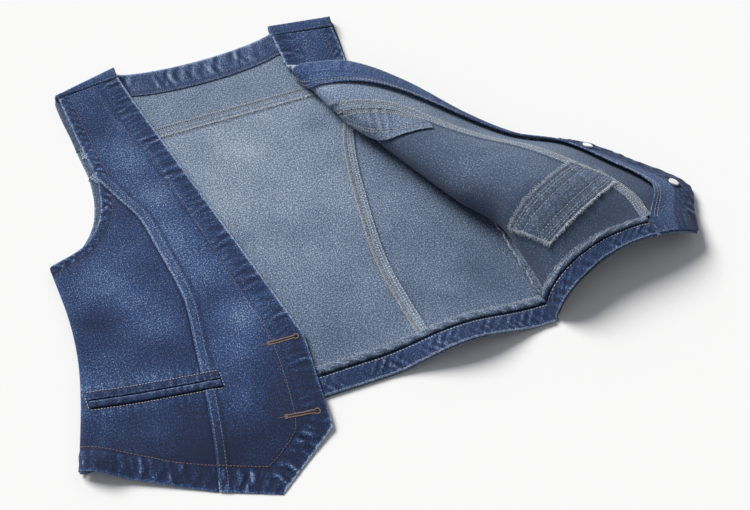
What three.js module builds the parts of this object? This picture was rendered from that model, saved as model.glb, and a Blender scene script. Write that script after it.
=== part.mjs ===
// A sleeveless denim vest laid on its back on a flat surface, its left front thrown open.
// Millimetres, +Z up. X runs across the garment towards the wearer's left, Y towards the neck.
// Every piece is cut flat, in a pattern measured from the middle of the shoulder fold, and
// then laid in place: a point of the pattern goes to a point of the lying garment.
import * as THREE from 'three';

// Cloth
const DENIM = 1.4; // thickness of a panel
const BAND = 1.2; // thickness of a facing, stay or welt
const CLEAR = 0.3; // space between two layers that lie on each other
const SEAM_GAP = 0.15; // each panel stops this short of its seam line
const ON_PANEL = DENIM / 2 + CLEAR + BAND / 2; // middle of a band above the middle of its panel
const ON_ROLL = ON_PANEL + 0.9; // the same where the panel rolls, so that the facets stay clear

// Flat pattern of a front, wearer's left. The right front is its mirror image.
const SHOULDER_NECK = [87.5, -13];
const SHOULDER_TIP = [155, -22];
const EDGE_AT_ARMHOLE = [53.2, -165]; // front edge, across from the top of the princess seam
const EDGE_BREAK = [3, -388]; // where the straight front edge turns down
const POINT_TOP = [9, -491];
const POINT_TIP = [73, -538];
const PRINCESS_TOP = [142, -140];
const UNDERARM = [213, -230];
const FRONT_ARMHOLE_UPPER = [SHOULDER_TIP, [149, -80], PRINCESS_TOP];
const FRONT_ARMHOLE_LOWER = [PRINCESS_TOP, [151, -185], [174, -215], UNDERARM];
const FRONT_PRINCESS = [PRINCESS_TOP, [130, -168], [115, -202], [108, -245], [100, -310],
  [105, -370], [110, -420], [117, -470], [126, -516]];
const SIDE = [UNDERARM, [209, -290], [211, -340], [220, -390], [238, -457]];

// Flat pattern of the back, wearer's left half
const YOKE_SEAM = -92;
const BACK_PRINCESS_TOP = [150, -130];
const BACK_ARMHOLE_UPPER = [[154, YOKE_SEAM], BACK_PRINCESS_TOP];
const BACK_ARMHOLE_LOWER = [BACK_PRINCESS_TOP, [153, -165], [163, -195], [183, -218], UNDERARM];
const BACK_PRINCESS = [BACK_PRINCESS_TOP, [129, -167], [119, -205], [113, -243], [104, -326],
  [108, -400], [113, -459]];
const BACK_SIDE_LEFT = [UNDERARM, [213, -290], [225, -338], [228.4, -383], [230.4, -419], [233.4, -457]];
const NECK_DIP = -12; // back neckline at the centre
const NECK_HALF = 88;
const SHOULDER_HALF = 160;
const SHOULDER_DROP = 10; // fall of the shoulder fold from neck to tip
const FACING_DEPTH = 33; // back neck facing
const HEM_BAND = 30; // facing of the hem

// How the layers lie
const FOLD_RADIUS = 5; // the shoulder fold
const SEAM_FORWARD = 12; // the shoulder seam lies this far down the front from the fold
const RIGHT_FRONT = 5.7; // middle of the right front's cloth above the surface
const SIDE_PUFF = 3.3; // it stands this much higher beside the side fold
const SIDE_PUFF_WIDTH = 35;
const SIDE_CURL = { right: 3.3, left: 1.2, width: 8 }; // the back's edge turns up at a side fold
const FRONT_CURL = 3.75; // the right front's edge turns down to meet it
const SHOULDER_PUFF_WIDTH = 38;
const BEYOND_HEM = { start: -464, length: 55, low: 0.95 }; // past the back's hem it lies down
const HEM_WAVE = { height: 18, from: 55, to: 222, start: -335, end: -459 }; // back hem off the surface

// The left front, thrown open. It is cut by rows that run across the crease, and each row is
// one section of the cloth: it leaves its foot on the back, rolls round and lies over to the
// front edge. AT is where the row crosses the pattern, along the crease from CREASE_START.
const CREASE_START = [80, -54];
const CREASE_ANGLE = THREE.MathUtils.degToRad(-63.4);
const LEFT_ROWS = [
  // at, footX, footY, footZ, heading, reach, edgeZ, radius, start, rise, fall, tuck, ease, bow, flat
  [-45, 60, -14, 4, 26.6, 0, 6, 4, 180, 90, 90, 0, 0, 0, 1.0],
  [0, 92, -55, 4, 20, -4, 8, 4, 180, 90, 90, 0, 0, 0, 0.9],
  [25, 101, -76, 4, 18, 13, 15, 6, 180, 20, -10, -6, 0.02, 0, 1.0],
  [50, 111, -98, 4, 16, 39, 20, 8, 180, 25, -20, -16, 0.05, 0, 1.1],
  [105, 130, -147, 4, 6, 66, 25, 12, 180, 30, -25, -30, 0.09, 0, 1.0],
  [164, 160, -202, 4, 1, 84, 17, 15, 180, 28, -22, -22, 0.11, 0, 1.0],
  [214, 186, -250, 4, 5, 104, 9, 19, 180, 22, -25, -12, 0.12, 0, 1.0],
  [264, 210, -296, 4, 12, 138, 4, 23, 175, 12, -30, -4, 0.11, 0, 1.0],
  [315, 229, -338, 4, 10, 160, 4, 27, 150, 8, -30, 12, 0.10, 0, 1.0],
  [359, 230, -383, 3.6, 8, 195, 4, 30, 115, 10, -30, 20, 0.08, 4, 1.0],
  [395, 232, -419, 3, 9, 182, 8, 30, 95, 10, -35, 29, 0.06, 10, 1.0],
  [435, 235, -456, 2.4, 11, 167, 15, 32, 85, 8, -40, 39, 0.04, 16, 1.0],
];
const STRAP_PUFF = 7.4; // the strap rises this much to the shoulder fold

// Facing of the left front: width in from the edge, by the row it is on
const LEFT_FACING = [
  // at, width
  [18, 16],
  [50, 50],
  [105, 48],
  [164, 34],
  [214, 33],
  [264, 42],
  [315, 50],
  [359, 58],
  [404, 62],
];
const FACING_LOOSE = 2.6; // its free edge stands off the panel

// Pockets: two welts with a slit between them, in a frame set across the princess seam
const POCKET = { inner: [92, -409], outer: [213, -391], welt: 7.6, slit: 1.2, stay: 44 };

// Buttons through the left front: a cap outside and the back of its tack inside
const BUTTONS = { upper: [31, -392], lower: [38, -476], cap: 7.5, capHeight: 2.4, shank: 3, stem: 1.4 };
const TACK = { radius: 4.8, height: 1.6 };

// Division of the pieces into facets
const STRAP_STEPS = 9;
const ARMHOLE_STEPS = 6;
const SIDE_STEPS = 15;
const EDGE_STEPS = [11, 6, 4]; // front edge, short edge below the break, slanted point
const BACK_ARMHOLE_STEPS = 4;
const BACK_SIDE_STEPS = 10;
const FLAT_EDGE_STEPS = [8, 4, 2];
const FLAT_STRAP_STEPS = 6;

const even = (count) => Array.from({ length: count + 1 }, (unused, i) => i / count);
const TOWARDS_SIDE = [0, 0.17, 0.34, 0.5, 0.64, 0.76, 0.86, 0.92, 0.96, 1];

const material = (color, roughness, metalness = 0) =>
  new THREE.MeshStandardMaterial({ color, roughness, metalness });
const DENIM_OUTSIDE = material(0x3d5a8c, 0.9);
const DENIM_INSIDE = material(0x7286a0, 0.9);
const DENIM_BAND = material(0x33507f, 0.9);
const METAL = material(0xd9d9dc, 0.35, 0.9);

const vest = new THREE.Group();

// Curves of the pattern
const spline = (points) => new THREE.SplineCurve(points.map(([x, y]) => new THREE.Vector2(x, y)));
const divide = (points, count) => {
  const curve = spline(points);
  return even(count).map((u) => curve.getPointAt(u).toArray());
};
const mirrored = (points) => points.map(([x, y]) => [-x, y]);
const join = (...parts) => parts.reduce((all, next) => all.concat(next.slice(1)));
const heightOn = (points, y) => {
  // x of a side line at the height y
  const last = points.length - 1;
  const i = Math.min(Math.max(points.findIndex((p) => p[1] < y), 1), last);
  const k = points[last][1] >= y ? last : i;
  const [a, b] = [points[k - 1], points[k]];
  return a[0] + ((b[0] - a[0]) * (y - a[1])) / (b[1] - a[1]);
};
const bell = (value, width) => Math.exp(-((value / width) ** 2));
const smooth = (value) => {
  const t = Math.min(Math.max(value, 0), 1);
  return t * t * (3 - 2 * t);
};
const shoulderFold = (x) => (-SHOULDER_DROP * Math.max(Math.abs(x) - NECK_HALF, 0))
  / (SHOULDER_HALF - NECK_HALF);
const belowArm = (y) => smooth((UNDERARM[1] + 25 - y) / 50);
const curl = (inside, rise, width) => rise * Math.max(1 - inside / width, 0) ** 3;

// The back lies on the surface with its inside up. Its sides turn up to the side seams, its
// hem waves off the surface on the left, and the yoke goes over the shoulder fold.
const hemWave = (x, y) => {
  const { height, from, to, start, end } = HEM_WAVE;
  const across = Math.min(Math.max((x - from) / (to - from), 0), 1);
  const along = Math.max((start - y) / (start - end), 0);
  return height * Math.sin(Math.PI * across) ** 2 * Math.min(along, 1.1) ** 2;
};
const back = (x, y) => {
  const side = x < 0 ? heightOn(SIDE, y) : heightOn(BACK_SIDE_LEFT, y);
  const rise = x < 0 ? SIDE_CURL.right : SIDE_CURL.left;
  const turned = belowArm(y) * curl(side - Math.abs(x), rise, SIDE_CURL.width);
  return new THREE.Vector3(x, y, DENIM / 2 + turned + hemWave(x, y));
};
const yoke = (x, y) => {
  const fold = shoulderFold(x);
  const over = y - fold;
  const arc = Math.PI * FOLD_RADIUS;
  if (over <= 0) return new THREE.Vector3(x, y, DENIM / 2);
  if (over >= arc) return new THREE.Vector3(x, fold - (over - arc), DENIM / 2 + 2 * FOLD_RADIUS);
  const angle = over / FOLD_RADIUS;
  const drop = FOLD_RADIUS * (1 - Math.cos(angle));
  return new THREE.Vector3(x, fold + FOLD_RADIUS * Math.sin(angle), DENIM / 2 + drop);
};

// The right front lies over the back with its outside up, and its point on the surface.
const rightFront = (x, y) => {
  const inside = heightOn(SIDE, y) + x;
  const puff = SIDE_PUFF * bell(inside, SIDE_PUFF_WIDTH) - curl(inside, FRONT_CURL, SIDE_CURL.width);
  const shoulder = (DENIM / 2 + 2 * FOLD_RADIUS - RIGHT_FRONT) / bell(SEAM_FORWARD, SHOULDER_PUFF_WIDTH);
  const atShoulder = shoulder * bell(y - shoulderFold(x), SHOULDER_PUFF_WIDTH);
  const { start, length, low } = BEYOND_HEM;
  const down = (RIGHT_FRONT - low) * smooth((start - y) / length);
  return new THREE.Vector3(x, y, RIGHT_FRONT + belowArm(y) * puff + atShoulder - down);
};

// The left front: a row of LEFT_ROWS at any place along the crease
const CREASE = [Math.cos(CREASE_ANGLE), Math.sin(CREASE_ANGLE)];
const ACROSS = [CREASE[1], -CREASE[0]];
const toRow = ([x, y]) => {
  const [dx, dy] = [x - CREASE_START[0], y - CREASE_START[1]];
  return [dx * CREASE[0] + dy * CREASE[1], dx * ACROSS[0] + dy * ACROSS[1]];
};
const fromRow = (at, across) => [
  CREASE_START[0] + at * CREASE[0] + across * ACROSS[0],
  CREASE_START[1] + at * CREASE[1] + across * ACROSS[1],
];
const blend = (table, at) => {
  const found = Math.min(Math.max(table.findIndex((row) => row[0] > at) - 1, 0), table.length - 2);
  const k = at >= table[table.length - 1][0] ? table.length - 2 : found;
  const rowAt = (i) => table[Math.min(Math.max(i, 0), table.length - 1)];
  const [a, b, c, d] = [k - 1, k, k + 1, k + 2].map(rowAt);
  const span = c[0] - b[0];
  const t = Math.min(Math.max((at - b[0]) / span, 0), 1);
  return b.map((value, j) => {
    const slopeB = ((c[j] - a[j]) / (c[0] - a[0])) * span;
    const slopeC = ((d[j] - b[j]) / (d[0] - b[0])) * span;
    return (2 * t ** 3 - 3 * t ** 2 + 1) * value + (t ** 3 - 2 * t ** 2 + t) * slopeB
      + (3 * t ** 2 - 2 * t ** 3) * c[j] + (t ** 3 - t ** 2) * slopeC;
  });
};
const EDGE_IN_ROWS = [SHOULDER_NECK, EDGE_BREAK, POINT_TOP, POINT_TIP].map(toRow);
const edgeAcross = (at) => {
  const k = Math.min(Math.max(EDGE_IN_ROWS.findIndex((p) => p[0] > at), 1), EDGE_IN_ROWS.length - 1);
  const j = at > EDGE_IN_ROWS[EDGE_IN_ROWS.length - 1][0] ? EDGE_IN_ROWS.length - 1 : k;
  const [a, b] = [EDGE_IN_ROWS[j - 1], EDGE_IN_ROWS[j]];
  return a[1] + ((b[1] - a[1]) * (Math.min(at, b[0]) - a[0])) / (b[0] - a[0]);
};
const hermite = (p0, m0, p1, m1, t) => (2 * t ** 3 - 3 * t ** 2 + 1) * p0
  + (t ** 3 - 2 * t ** 2 + t) * m0 + (3 * t ** 2 - 2 * t ** 3) * p1 + (t ** 3 - t ** 2) * m1;
const sectionOf = (row) => {
  // points of one row: distance from the foot along its heading, and height
  const [, , , footZ, , reach, edgeZ, radius, start, rise, fall] = row;
  const [first, last, end] = [start, rise, fall].map(THREE.MathUtils.degToRad);
  const points = even(24).map((u) => {
    const angle = first + (last - first) * u;
    const up = radius * (Math.cos(angle) - Math.cos(first));
    return [radius * (Math.sin(first) - Math.sin(angle)), footZ + up];
  });
  const [h, z] = points[points.length - 1];
  const span = Math.hypot(reach - h, edgeZ - z);
  even(40).slice(1).forEach((t) => points.push([
    hermite(h, span * Math.cos(last), reach, span * Math.cos(end), t),
    hermite(z, span * Math.sin(last), edgeZ, span * Math.sin(end), t),
  ]));
  const lengths = [0];
  for (let i = 1; i < points.length; i += 1) {
    const [a, b] = [points[i - 1], points[i]];
    lengths.push(lengths[i - 1] + Math.hypot(b[0] - a[0], b[1] - a[1]));
  }
  return { points, lengths };
};
const strapPuff = (x, y) => STRAP_PUFF * bell(y - shoulderFold(x), SHOULDER_PUFF_WIDTH);
const leftFront = (x, y) => {
  const [at, across] = toRow([x, y]);
  const row = blend(LEFT_ROWS, at);
  const [, footX, footY, footZ, heading, reach, , , , , , tuck, ease, bow, flat] = row;
  const turn = THREE.MathUtils.degToRad(heading);
  const [dirX, dirY] = [Math.cos(turn), Math.sin(turn)];
  if (across <= tuck) {
    const away = (tuck - across) * flat;
    const [px, py] = [footX + dirX * away, footY + dirY * away];
    return new THREE.Vector3(px, py, footZ + strapPuff(px, py));
  }
  const { points, lengths } = sectionOf(row);
  const plain = (across - tuck) / (edgeAcross(at) - tuck);
  const share = plain < 1 ? plain + ease * 4 * plain * (1 - plain) : plain;
  const along = share * lengths[lengths.length - 1];
  const found = lengths.findIndex((value) => value > along);
  const k = found < 0 ? lengths.length - 1 : Math.max(found, 1);
  const part = (along - lengths[k - 1]) / (lengths[k] - lengths[k - 1]);
  const [h, z] = points[k].map((value, j) => points[k - 1][j] + (value - points[k - 1][j]) * part);
  const side = bow * Math.sin(Math.PI * Math.min(Math.max(h / Math.max(reach, 1), 0), 1));
  return new THREE.Vector3(
    footX + dirX * h - dirY * side,
    footY + dirY * h + dirX * side,
    z + strapPuff(footX, footY),
  );
};

// Outward normal of a laid surface: the outside of a front, the inside of the back
const normalAt = (place, x, y) => {
  const step = 0.4;
  const alongX = place(x + step, y).sub(place(x - step, y));
  const alongY = place(x, y + step).sub(place(x, y - step));
  return alongX.cross(alongY).normalize();
};

// A wall of cloth over a grid of pattern points, with its middle moved AWAY off the panel. Cells
// that KEPT refuses are left out, and the wall is closed round them.
const wall = (name, look, place, grid, thickness, away, kept = () => true) => {
  const [rows, columns] = [grid.length, grid[0].length];
  const inside = (i, j) => i >= 0 && j >= 0 && i < rows - 1 && j < columns - 1 && kept(i, j);
  const vertices = [];
  const numbered = new Map();
  const at = (face, [i, j]) => {
    const key = `${face} ${i} ${j}`;
    if (!numbered.has(key)) {
      const [x, y] = grid[i][j];
      const off = away(i, j) + (face * thickness) / 2;
      numbered.set(key, vertices.length);
      vertices.push(place(x, y).addScaledVector(normalAt(place, x, y), off));
    }
    return numbered.get(key);
  };
  const index = [];
  const quad = (a, b, c, d) => index.push(a, b, c, a, c, d);
  grid.forEach((unused, i) => grid[i].forEach((point, j) => {
    if (!inside(i, j)) return;
    const corners = [[i, j], [i + 1, j], [i + 1, j + 1], [i, j + 1]];
    const neighbours = [[i, j - 1], [i + 1, j], [i, j + 1], [i - 1, j]];
    quad(...corners.map((corner) => at(1, corner)));
    quad(...[0, 3, 2, 1].map((k) => at(-1, corners[k])));
    neighbours.forEach((neighbour, k) => {
      if (inside(...neighbour)) return;
      const [from, to] = [corners[k], corners[(k + 1) % 4]];
      const rim = [at(1, from), at(-1, from), at(-1, to), at(1, to)];
      quad(...(k < 2 ? rim : [...rim.slice(1), rim[0]])); // diagonals alike on facing rims
    });
  }));
  const numbers = vertices.flatMap((v) => v.toArray());
  const geometry = new THREE.BufferGeometry();
  geometry.setAttribute('position', new THREE.Float32BufferAttribute(numbers, 3));
  geometry.setIndex(signedVolume(vertices, index) < 0 ? flipped(index) : index);
  const mesh = new THREE.Mesh(geometry, look);
  mesh.name = name;
  vest.add(mesh);
};

// A wall between RUNGS, pairs of pattern points, one on each side of the piece. SHARES are the
// places of its vertices along a rung.
const piece = (name, look, place, rungs, shares, thickness = DENIM, offset = () => 0, gap = SEAM_GAP) => {
  const grid = rungs.map(([a, b]) => {
    const length = Math.hypot(b[0] - a[0], b[1] - a[1]);
    const inset = Math.min(gap / length, 0.1);
    return shares.map((share) => {
      const s = inset + share * (1 - 2 * inset);
      return [a[0] + (b[0] - a[0]) * s, a[1] + (b[1] - a[1]) * s];
    });
  });
  wall(name, look, place, grid, thickness, (i, j) => offset(shares[j]));
};
const signedVolume = (vertices, index) => {
  let sum = 0;
  for (let i = 0; i < index.length; i += 3) {
    const [a, b, c] = [vertices[index[i]], vertices[index[i + 1]], vertices[index[i + 2]]];
    sum += a.dot(b.clone().cross(c));
  }
  return sum;
};
const flipped = (index) => {
  const out = [];
  for (let i = 0; i < index.length; i += 3) out.push(index[i], index[i + 2], index[i + 1]);
  return out;
};
const pairs = (a, b) => a.map((point, i) => [point, b[i]]);

// Fronts. The rungs of the centre panel run from the front edge to the armhole and the
// princess seam, and those of the side panel from the princess seam to the armhole and side.
const frontCentre = (straps, lower, edges) => {
  const edge = join(
    divide([SHOULDER_NECK, EDGE_AT_ARMHOLE], straps),
    divide([EDGE_AT_ARMHOLE, EDGE_BREAK], edges[0]),
    divide([EDGE_BREAK, POINT_TOP], edges[1]),
    divide([POINT_TOP, POINT_TIP], edges[2]),
  );
  const inner = join(divide(FRONT_ARMHOLE_UPPER, straps), divide(FRONT_PRINCESS, lower));
  return pairs(edge, inner);
};
const firstApart = (points) => [[points[0][0] + 4, points[0][1] - 4], ...points.slice(1)];
const frontSide = (armhole, side) => pairs(
  divide(FRONT_PRINCESS, armhole + side),
  firstApart(join(divide(FRONT_ARMHOLE_LOWER, armhole), divide(SIDE, side))),
);
const mirrorRungs = (rungs) => rungs.map(([a, b]) => mirrored([a, b]));

piece('front_left_centre', DENIM_OUTSIDE, leftFront,
  frontCentre(STRAP_STEPS, ARMHOLE_STEPS + SIDE_STEPS, EDGE_STEPS), even(14));
piece('front_left_side', DENIM_OUTSIDE, leftFront, frontSide(ARMHOLE_STEPS, SIDE_STEPS), even(12));
const flatCentre = frontCentre(FLAT_STRAP_STEPS, BACK_ARMHOLE_STEPS + BACK_SIDE_STEPS, FLAT_EDGE_STEPS);
piece('front_right_centre', DENIM_OUTSIDE, rightFront, mirrorRungs(flatCentre), even(7));
piece('front_right_side', DENIM_OUTSIDE, rightFront,
  mirrorRungs(frontSide(BACK_ARMHOLE_STEPS, BACK_SIDE_STEPS)), TOWARDS_SIDE);

// Back: a centre and two side panels, and the yoke that goes over the shoulders
const backEdge = join(
  divide(BACK_ARMHOLE_UPPER, 2).map(([x, y]) => [x, Math.min(y, YOKE_SEAM - SEAM_GAP)]),
  divide(BACK_PRINCESS, BACK_ARMHOLE_STEPS + BACK_SIDE_STEPS),
);
piece('back_centre', DENIM_INSIDE, back, pairs(mirrored(backEdge), backEdge), even(14));
const backSide = (side) => pairs(
  divide(BACK_PRINCESS, BACK_ARMHOLE_STEPS + BACK_SIDE_STEPS),
  firstApart(join(divide(BACK_ARMHOLE_LOWER, BACK_ARMHOLE_STEPS), divide(side, BACK_SIDE_STEPS))),
);
piece('back_side_left', DENIM_INSIDE, back, backSide(BACK_SIDE_LEFT), TOWARDS_SIDE);
piece('back_side_right', DENIM_INSIDE, back, mirrorRungs(backSide(SIDE)), TOWARDS_SIDE);

const OVER = Math.PI * FOLD_RADIUS + SEAM_FORWARD - 2 * SEAM_GAP; // yoke past the shoulder fold
const YOKE_HALF_FOOT = 154;
const neckline = (x) => NECK_DIP * (1 - (x / NECK_HALF) ** 2) ** 0.7;
const strapColumns = [SHOULDER_HALF, 145, 125, 105, NECK_HALF];
const neckColumns = [84, 77, 62, 42, 20, 0];
const yokeColumns = [...strapColumns, ...neckColumns, ...neckColumns.slice(0, -1).map((x) => -x).reverse(),
  ...strapColumns.map((x) => -x).reverse()];
const flatRows = even(4);
const overRows = even(7).slice(1);
const yokeGrid = yokeColumns.map((x) => {
  const size = Math.abs(x);
  const top = size < NECK_HALF ? neckline(size) : shoulderFold(size);
  const low = YOKE_SEAM + SEAM_GAP;
  const heights = [...flatRows.map((u) => low + (top - low) * u), ...overRows.map((u) => top + OVER * u)];
  const foot = Math.min(size, YOKE_HALF_FOOT);
  return heights.map((y) => [Math.sign(x) * (foot + ((size - foot) * (y - low)) / (top + OVER - low)), y]);
});
const onStrap = (i) => Math.min(Math.abs(yokeColumns[i]), Math.abs(yokeColumns[i + 1])) >= NECK_HALF;
wall('back_yoke', DENIM_INSIDE, yoke, yokeGrid, DENIM, () => 0,
  (i, j) => j < flatRows.length - 1 || onStrap(i));

// Facings
const facingHalf = [86, 78, 66, 50, 25, 0].map((x) => {
  const top = neckline(x) - 0.5;
  return [[x, top], [x * 0.98, top - FACING_DEPTH]];
});
piece('back_neck_facing', DENIM_BAND, yoke,
  [...facingHalf, ...mirrorRungs(facingHalf.slice(0, -1)).reverse()], even(2), BAND, () => ON_PANEL);

const hemEnds = [-226, 222];
const hemHeight = -458.5;
const hemRungs = even(28).map((u) => {
  const x = hemEnds[0] + (hemEnds[1] - hemEnds[0]) * u;
  return [[x, hemHeight], [x, hemHeight + HEM_BAND]];
});
piece('back_hem_facing', DENIM_BAND, back, hemRungs, even(2), BAND, () => ON_ROLL);

const facingRow = ([at, width]) => [fromRow(at, edgeAcross(at) - 0.6), fromRow(at, edgeAcross(at) - width)];
const between = (table, count) => {
  const [from, to] = [table[0][0], table[table.length - 1][0]];
  return even(count).map((u) => blend(table, from + (to - from) * u));
};
const looseFacing = (share) => -ON_ROLL - FACING_LOOSE * Math.max((share - 0.7) / 0.3, 0) ** 2;
const facingEnd = [[POINT_TIP[0] + 1, POINT_TIP[1] + 1.4], [122, -516.5]];
piece('front_left_facing', DENIM_BAND, leftFront,
  [...between(LEFT_FACING, 24).map(facingRow), facingEnd], even(5), BAND, looseFacing);

const hemFacing = [[126, -515.4], [150, -502], [180, -484.4], [210, -470], [233, -459.5]];
const hemFacingTop = [[118, -487], [140, -474], [170, -454], [200, -440], [226, -432]];
piece('front_left_hem_facing', DENIM_BAND, leftFront,
  pairs(divide(hemFacing, 14), divide(hemFacingTop, 14)), even(3), BAND, () => -ON_ROLL);

// Pocket of each front, and the stay behind the left one
const pocketStrip = (from, to, low, high, steps) => {
  const [[x0, y0], [x1, y1]] = [POCKET.inner, POCKET.outer];
  const spot = (u, up) => [x0 + (x1 - x0) * u, y0 + (y1 - y0) * u + up];
  return even(steps).map((u) => [spot(from + (to - from) * u, low), spot(from + (to - from) * u, high)]);
};
const half = POCKET.slit / 2;
const WELTS = [['upper', half, half + POCKET.welt], ['lower', -half - POCKET.welt, -half]];
WELTS.forEach(([which, low, high]) => {
  piece(`pocket_right_welt_${which}`, DENIM_BAND, rightFront,
    mirrorRungs(pocketStrip(0, 1, low, high, 10)), even(2), BAND, () => ON_PANEL, 0);
  piece(`pocket_left_welt_${which}`, DENIM_BAND, leftFront,
    pocketStrip(0, 0.9, low, high, 12), even(2), BAND, () => ON_ROLL, 0);
});
piece('pocket_left_stay', DENIM_INSIDE, leftFront,
  pocketStrip(0.08, 0.86, -POCKET.stay / 2, POCKET.stay / 2, 12), even(4), BAND, () => -ON_ROLL);

// Facing of the left armhole below the princess seam, on the inside of the side panel
const armholeFacing = pairs(
  divide([[141, -146], [132, -168], [118, -200], [111, -236]], 8),
  divide([[146, -150], [153, -184], [148, -215], [118, -243]], 8),
);
piece('front_left_armhole_facing', DENIM_INSIDE, leftFront, armholeFacing, even(5), BAND, () => -ON_ROLL);

// Buttons
const turned = (profile) => {
  const points = profile.map(([r, z]) => new THREE.Vector2(r, z));
  return new THREE.LatheGeometry(points, 20).rotateX(Math.PI / 2);
};
const seat = (name, geometry, [x, y], side, offset) => {
  const mesh = new THREE.Mesh(geometry, METAL);
  const normal = normalAt(leftFront, x, y).multiplyScalar(side);
  mesh.name = name;
  mesh.position.copy(leftFront(x, y)).addScaledVector(normal, offset);
  mesh.quaternion.setFromUnitVectors(new THREE.Vector3(0, 0, 1), normal);
  vest.add(mesh);
};
const cap = [[0, 0], [BUTTONS.shank, 0], [BUTTONS.shank, BUTTONS.stem], [BUTTONS.cap - 0.6, BUTTONS.stem],
  [BUTTONS.cap, BUTTONS.stem + 0.6], [BUTTONS.cap, BUTTONS.stem + 1.6],
  [BUTTONS.cap - 1, BUTTONS.stem + BUTTONS.capHeight], [0, BUTTONS.stem + BUTTONS.capHeight]];
const tack = [[0, 0], [TACK.radius, 0], [TACK.radius, 0.5], [TACK.radius * 0.7, TACK.height * 0.85],
  [0, TACK.height]];
['upper', 'lower'].forEach((which) => {
  seat(`button_${which}`, turned(cap), BUTTONS[which], 1, DENIM / 2 + 2 * CLEAR);
  seat(`button_tack_${which}`, turned(tack), BUTTONS[which], -1, ON_ROLL + BAND / 2 + 3 * CLEAR);
});

// The origin is the middle of the footprint, on the surface
const bounds = new THREE.Box3().setFromObject(vest);
vest.position.set(-(bounds.min.x + bounds.max.x) / 2, -(bounds.min.y + bounds.max.y) / 2, -bounds.min.z);

export default vest;
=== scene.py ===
# %% [markdown]
# # A denim vest, laid down with one front thrown open
# This lesson builds the looks of a sleeveless denim vest around its solid model. Each cloth
# piece is cut flat, as a tailor cuts it, and a function lays every point of the flat pattern
# where the cloth lies. Seams, stitches and frayed edges are then placed on the same pattern.

# %% Load the solid model
import math
import bpy
import numpy as np
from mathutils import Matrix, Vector


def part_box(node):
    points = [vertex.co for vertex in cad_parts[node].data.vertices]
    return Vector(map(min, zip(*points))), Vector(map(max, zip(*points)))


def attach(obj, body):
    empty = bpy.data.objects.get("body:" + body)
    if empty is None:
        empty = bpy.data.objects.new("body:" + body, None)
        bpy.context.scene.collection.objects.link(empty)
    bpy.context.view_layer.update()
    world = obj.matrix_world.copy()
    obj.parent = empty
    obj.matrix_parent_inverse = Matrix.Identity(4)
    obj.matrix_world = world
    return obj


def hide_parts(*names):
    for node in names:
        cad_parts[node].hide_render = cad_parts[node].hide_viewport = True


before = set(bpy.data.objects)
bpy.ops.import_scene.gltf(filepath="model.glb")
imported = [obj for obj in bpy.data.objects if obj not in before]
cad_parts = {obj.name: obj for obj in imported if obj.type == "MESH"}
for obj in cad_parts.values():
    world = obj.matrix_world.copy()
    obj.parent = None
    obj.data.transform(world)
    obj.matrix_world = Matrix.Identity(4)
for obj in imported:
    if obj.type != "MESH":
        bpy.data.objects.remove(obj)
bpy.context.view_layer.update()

MM = 0.001  # the pattern is in millimetres and the scene in metres
YOKE_SEAM = -92.0
YOKE_FOOT = YOKE_SEAM + 0.15  # lowest line of the yoke's solid
yoke_low, yoke_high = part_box("back_yoke")
SHIFT = np.array([(yoke_low.x + yoke_high.x) / 2, yoke_low.y - YOKE_FOOT * MM, 0.0])
print("nodes:", len(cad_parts), "pattern shift:", SHIFT.round(5))

# %% [markdown]
# ## Camera, floor and light
# The vest lies on a white sheet, seen from above its hem at the height of a standing person's
# eyes. The camera stands where that view was worked out, and a long lens keeps it calm. A
# wide soft sun behind the vest, a little to the left, and a pale sky leave one soft shadow at
# the lower right.

# %% Camera
CAMERA_AT = np.array([-0.1846, -1.0705, 1.1430]) + SHIFT
CAMERA_LOOKS_AT = np.array([0.0940, -0.3227, 0.0]) + SHIFT
SENSOR_WIDTH, LENS = 36.0, 67.2  # in millimetres, as on a real camera
camera_data = bpy.data.cameras.new("camera")
camera_data.sensor_width = SENSOR_WIDTH
camera_data.lens = LENS
camera = bpy.data.objects.new("camera", camera_data)
bpy.context.scene.collection.objects.link(camera)
camera.location = CAMERA_AT
towards = Vector(CAMERA_LOOKS_AT - CAMERA_AT)
camera.rotation_mode = "QUATERNION"
camera.rotation_quaternion = towards.to_track_quat("-Z", "Y")
bpy.context.scene.camera = camera
print("camera distance:", round(towards.length, 3))

# %% Light
SUN_FROM = Vector((-0.38, 0.74, 0.70))
SUN_STRENGTH, SUN_WIDTH, SUN_COLOUR = 3.85, math.radians(30), (1.0, 0.985, 0.96)
SKY_STRENGTH, SKY_COLOUR = 0.25, (0.93, 0.95, 1.0, 1)
sun_data = bpy.data.lights.new("soft_sun", "SUN")
sun_data.energy = SUN_STRENGTH
sun_data.angle = SUN_WIDTH
sun_data.color = SUN_COLOUR
sun = bpy.data.objects.new("soft_sun", sun_data)
bpy.context.scene.collection.objects.link(sun)
sun.rotation_mode = "QUATERNION"
sun.rotation_quaternion = (-SUN_FROM).to_track_quat("-Z", "Y")
sky = bpy.data.worlds.new("sky")
sky.use_nodes = True
sky.node_tree.nodes["Background"].inputs["Color"].default_value = SKY_COLOUR
sky.node_tree.nodes["Background"].inputs["Strength"].default_value = SKY_STRENGTH
bpy.context.scene.world = sky
bpy.context.scene.view_settings.view_transform = "Standard"

# %% [markdown]
# ## The flat pattern
# These are the cut lines of the wearer's left front and left half back, in millimetres from
# the middle of the shoulder fold. The right half is the mirror image. A smooth curve through
# few points is how a tailor draws an armhole, so each line is a short list and one function.

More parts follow.
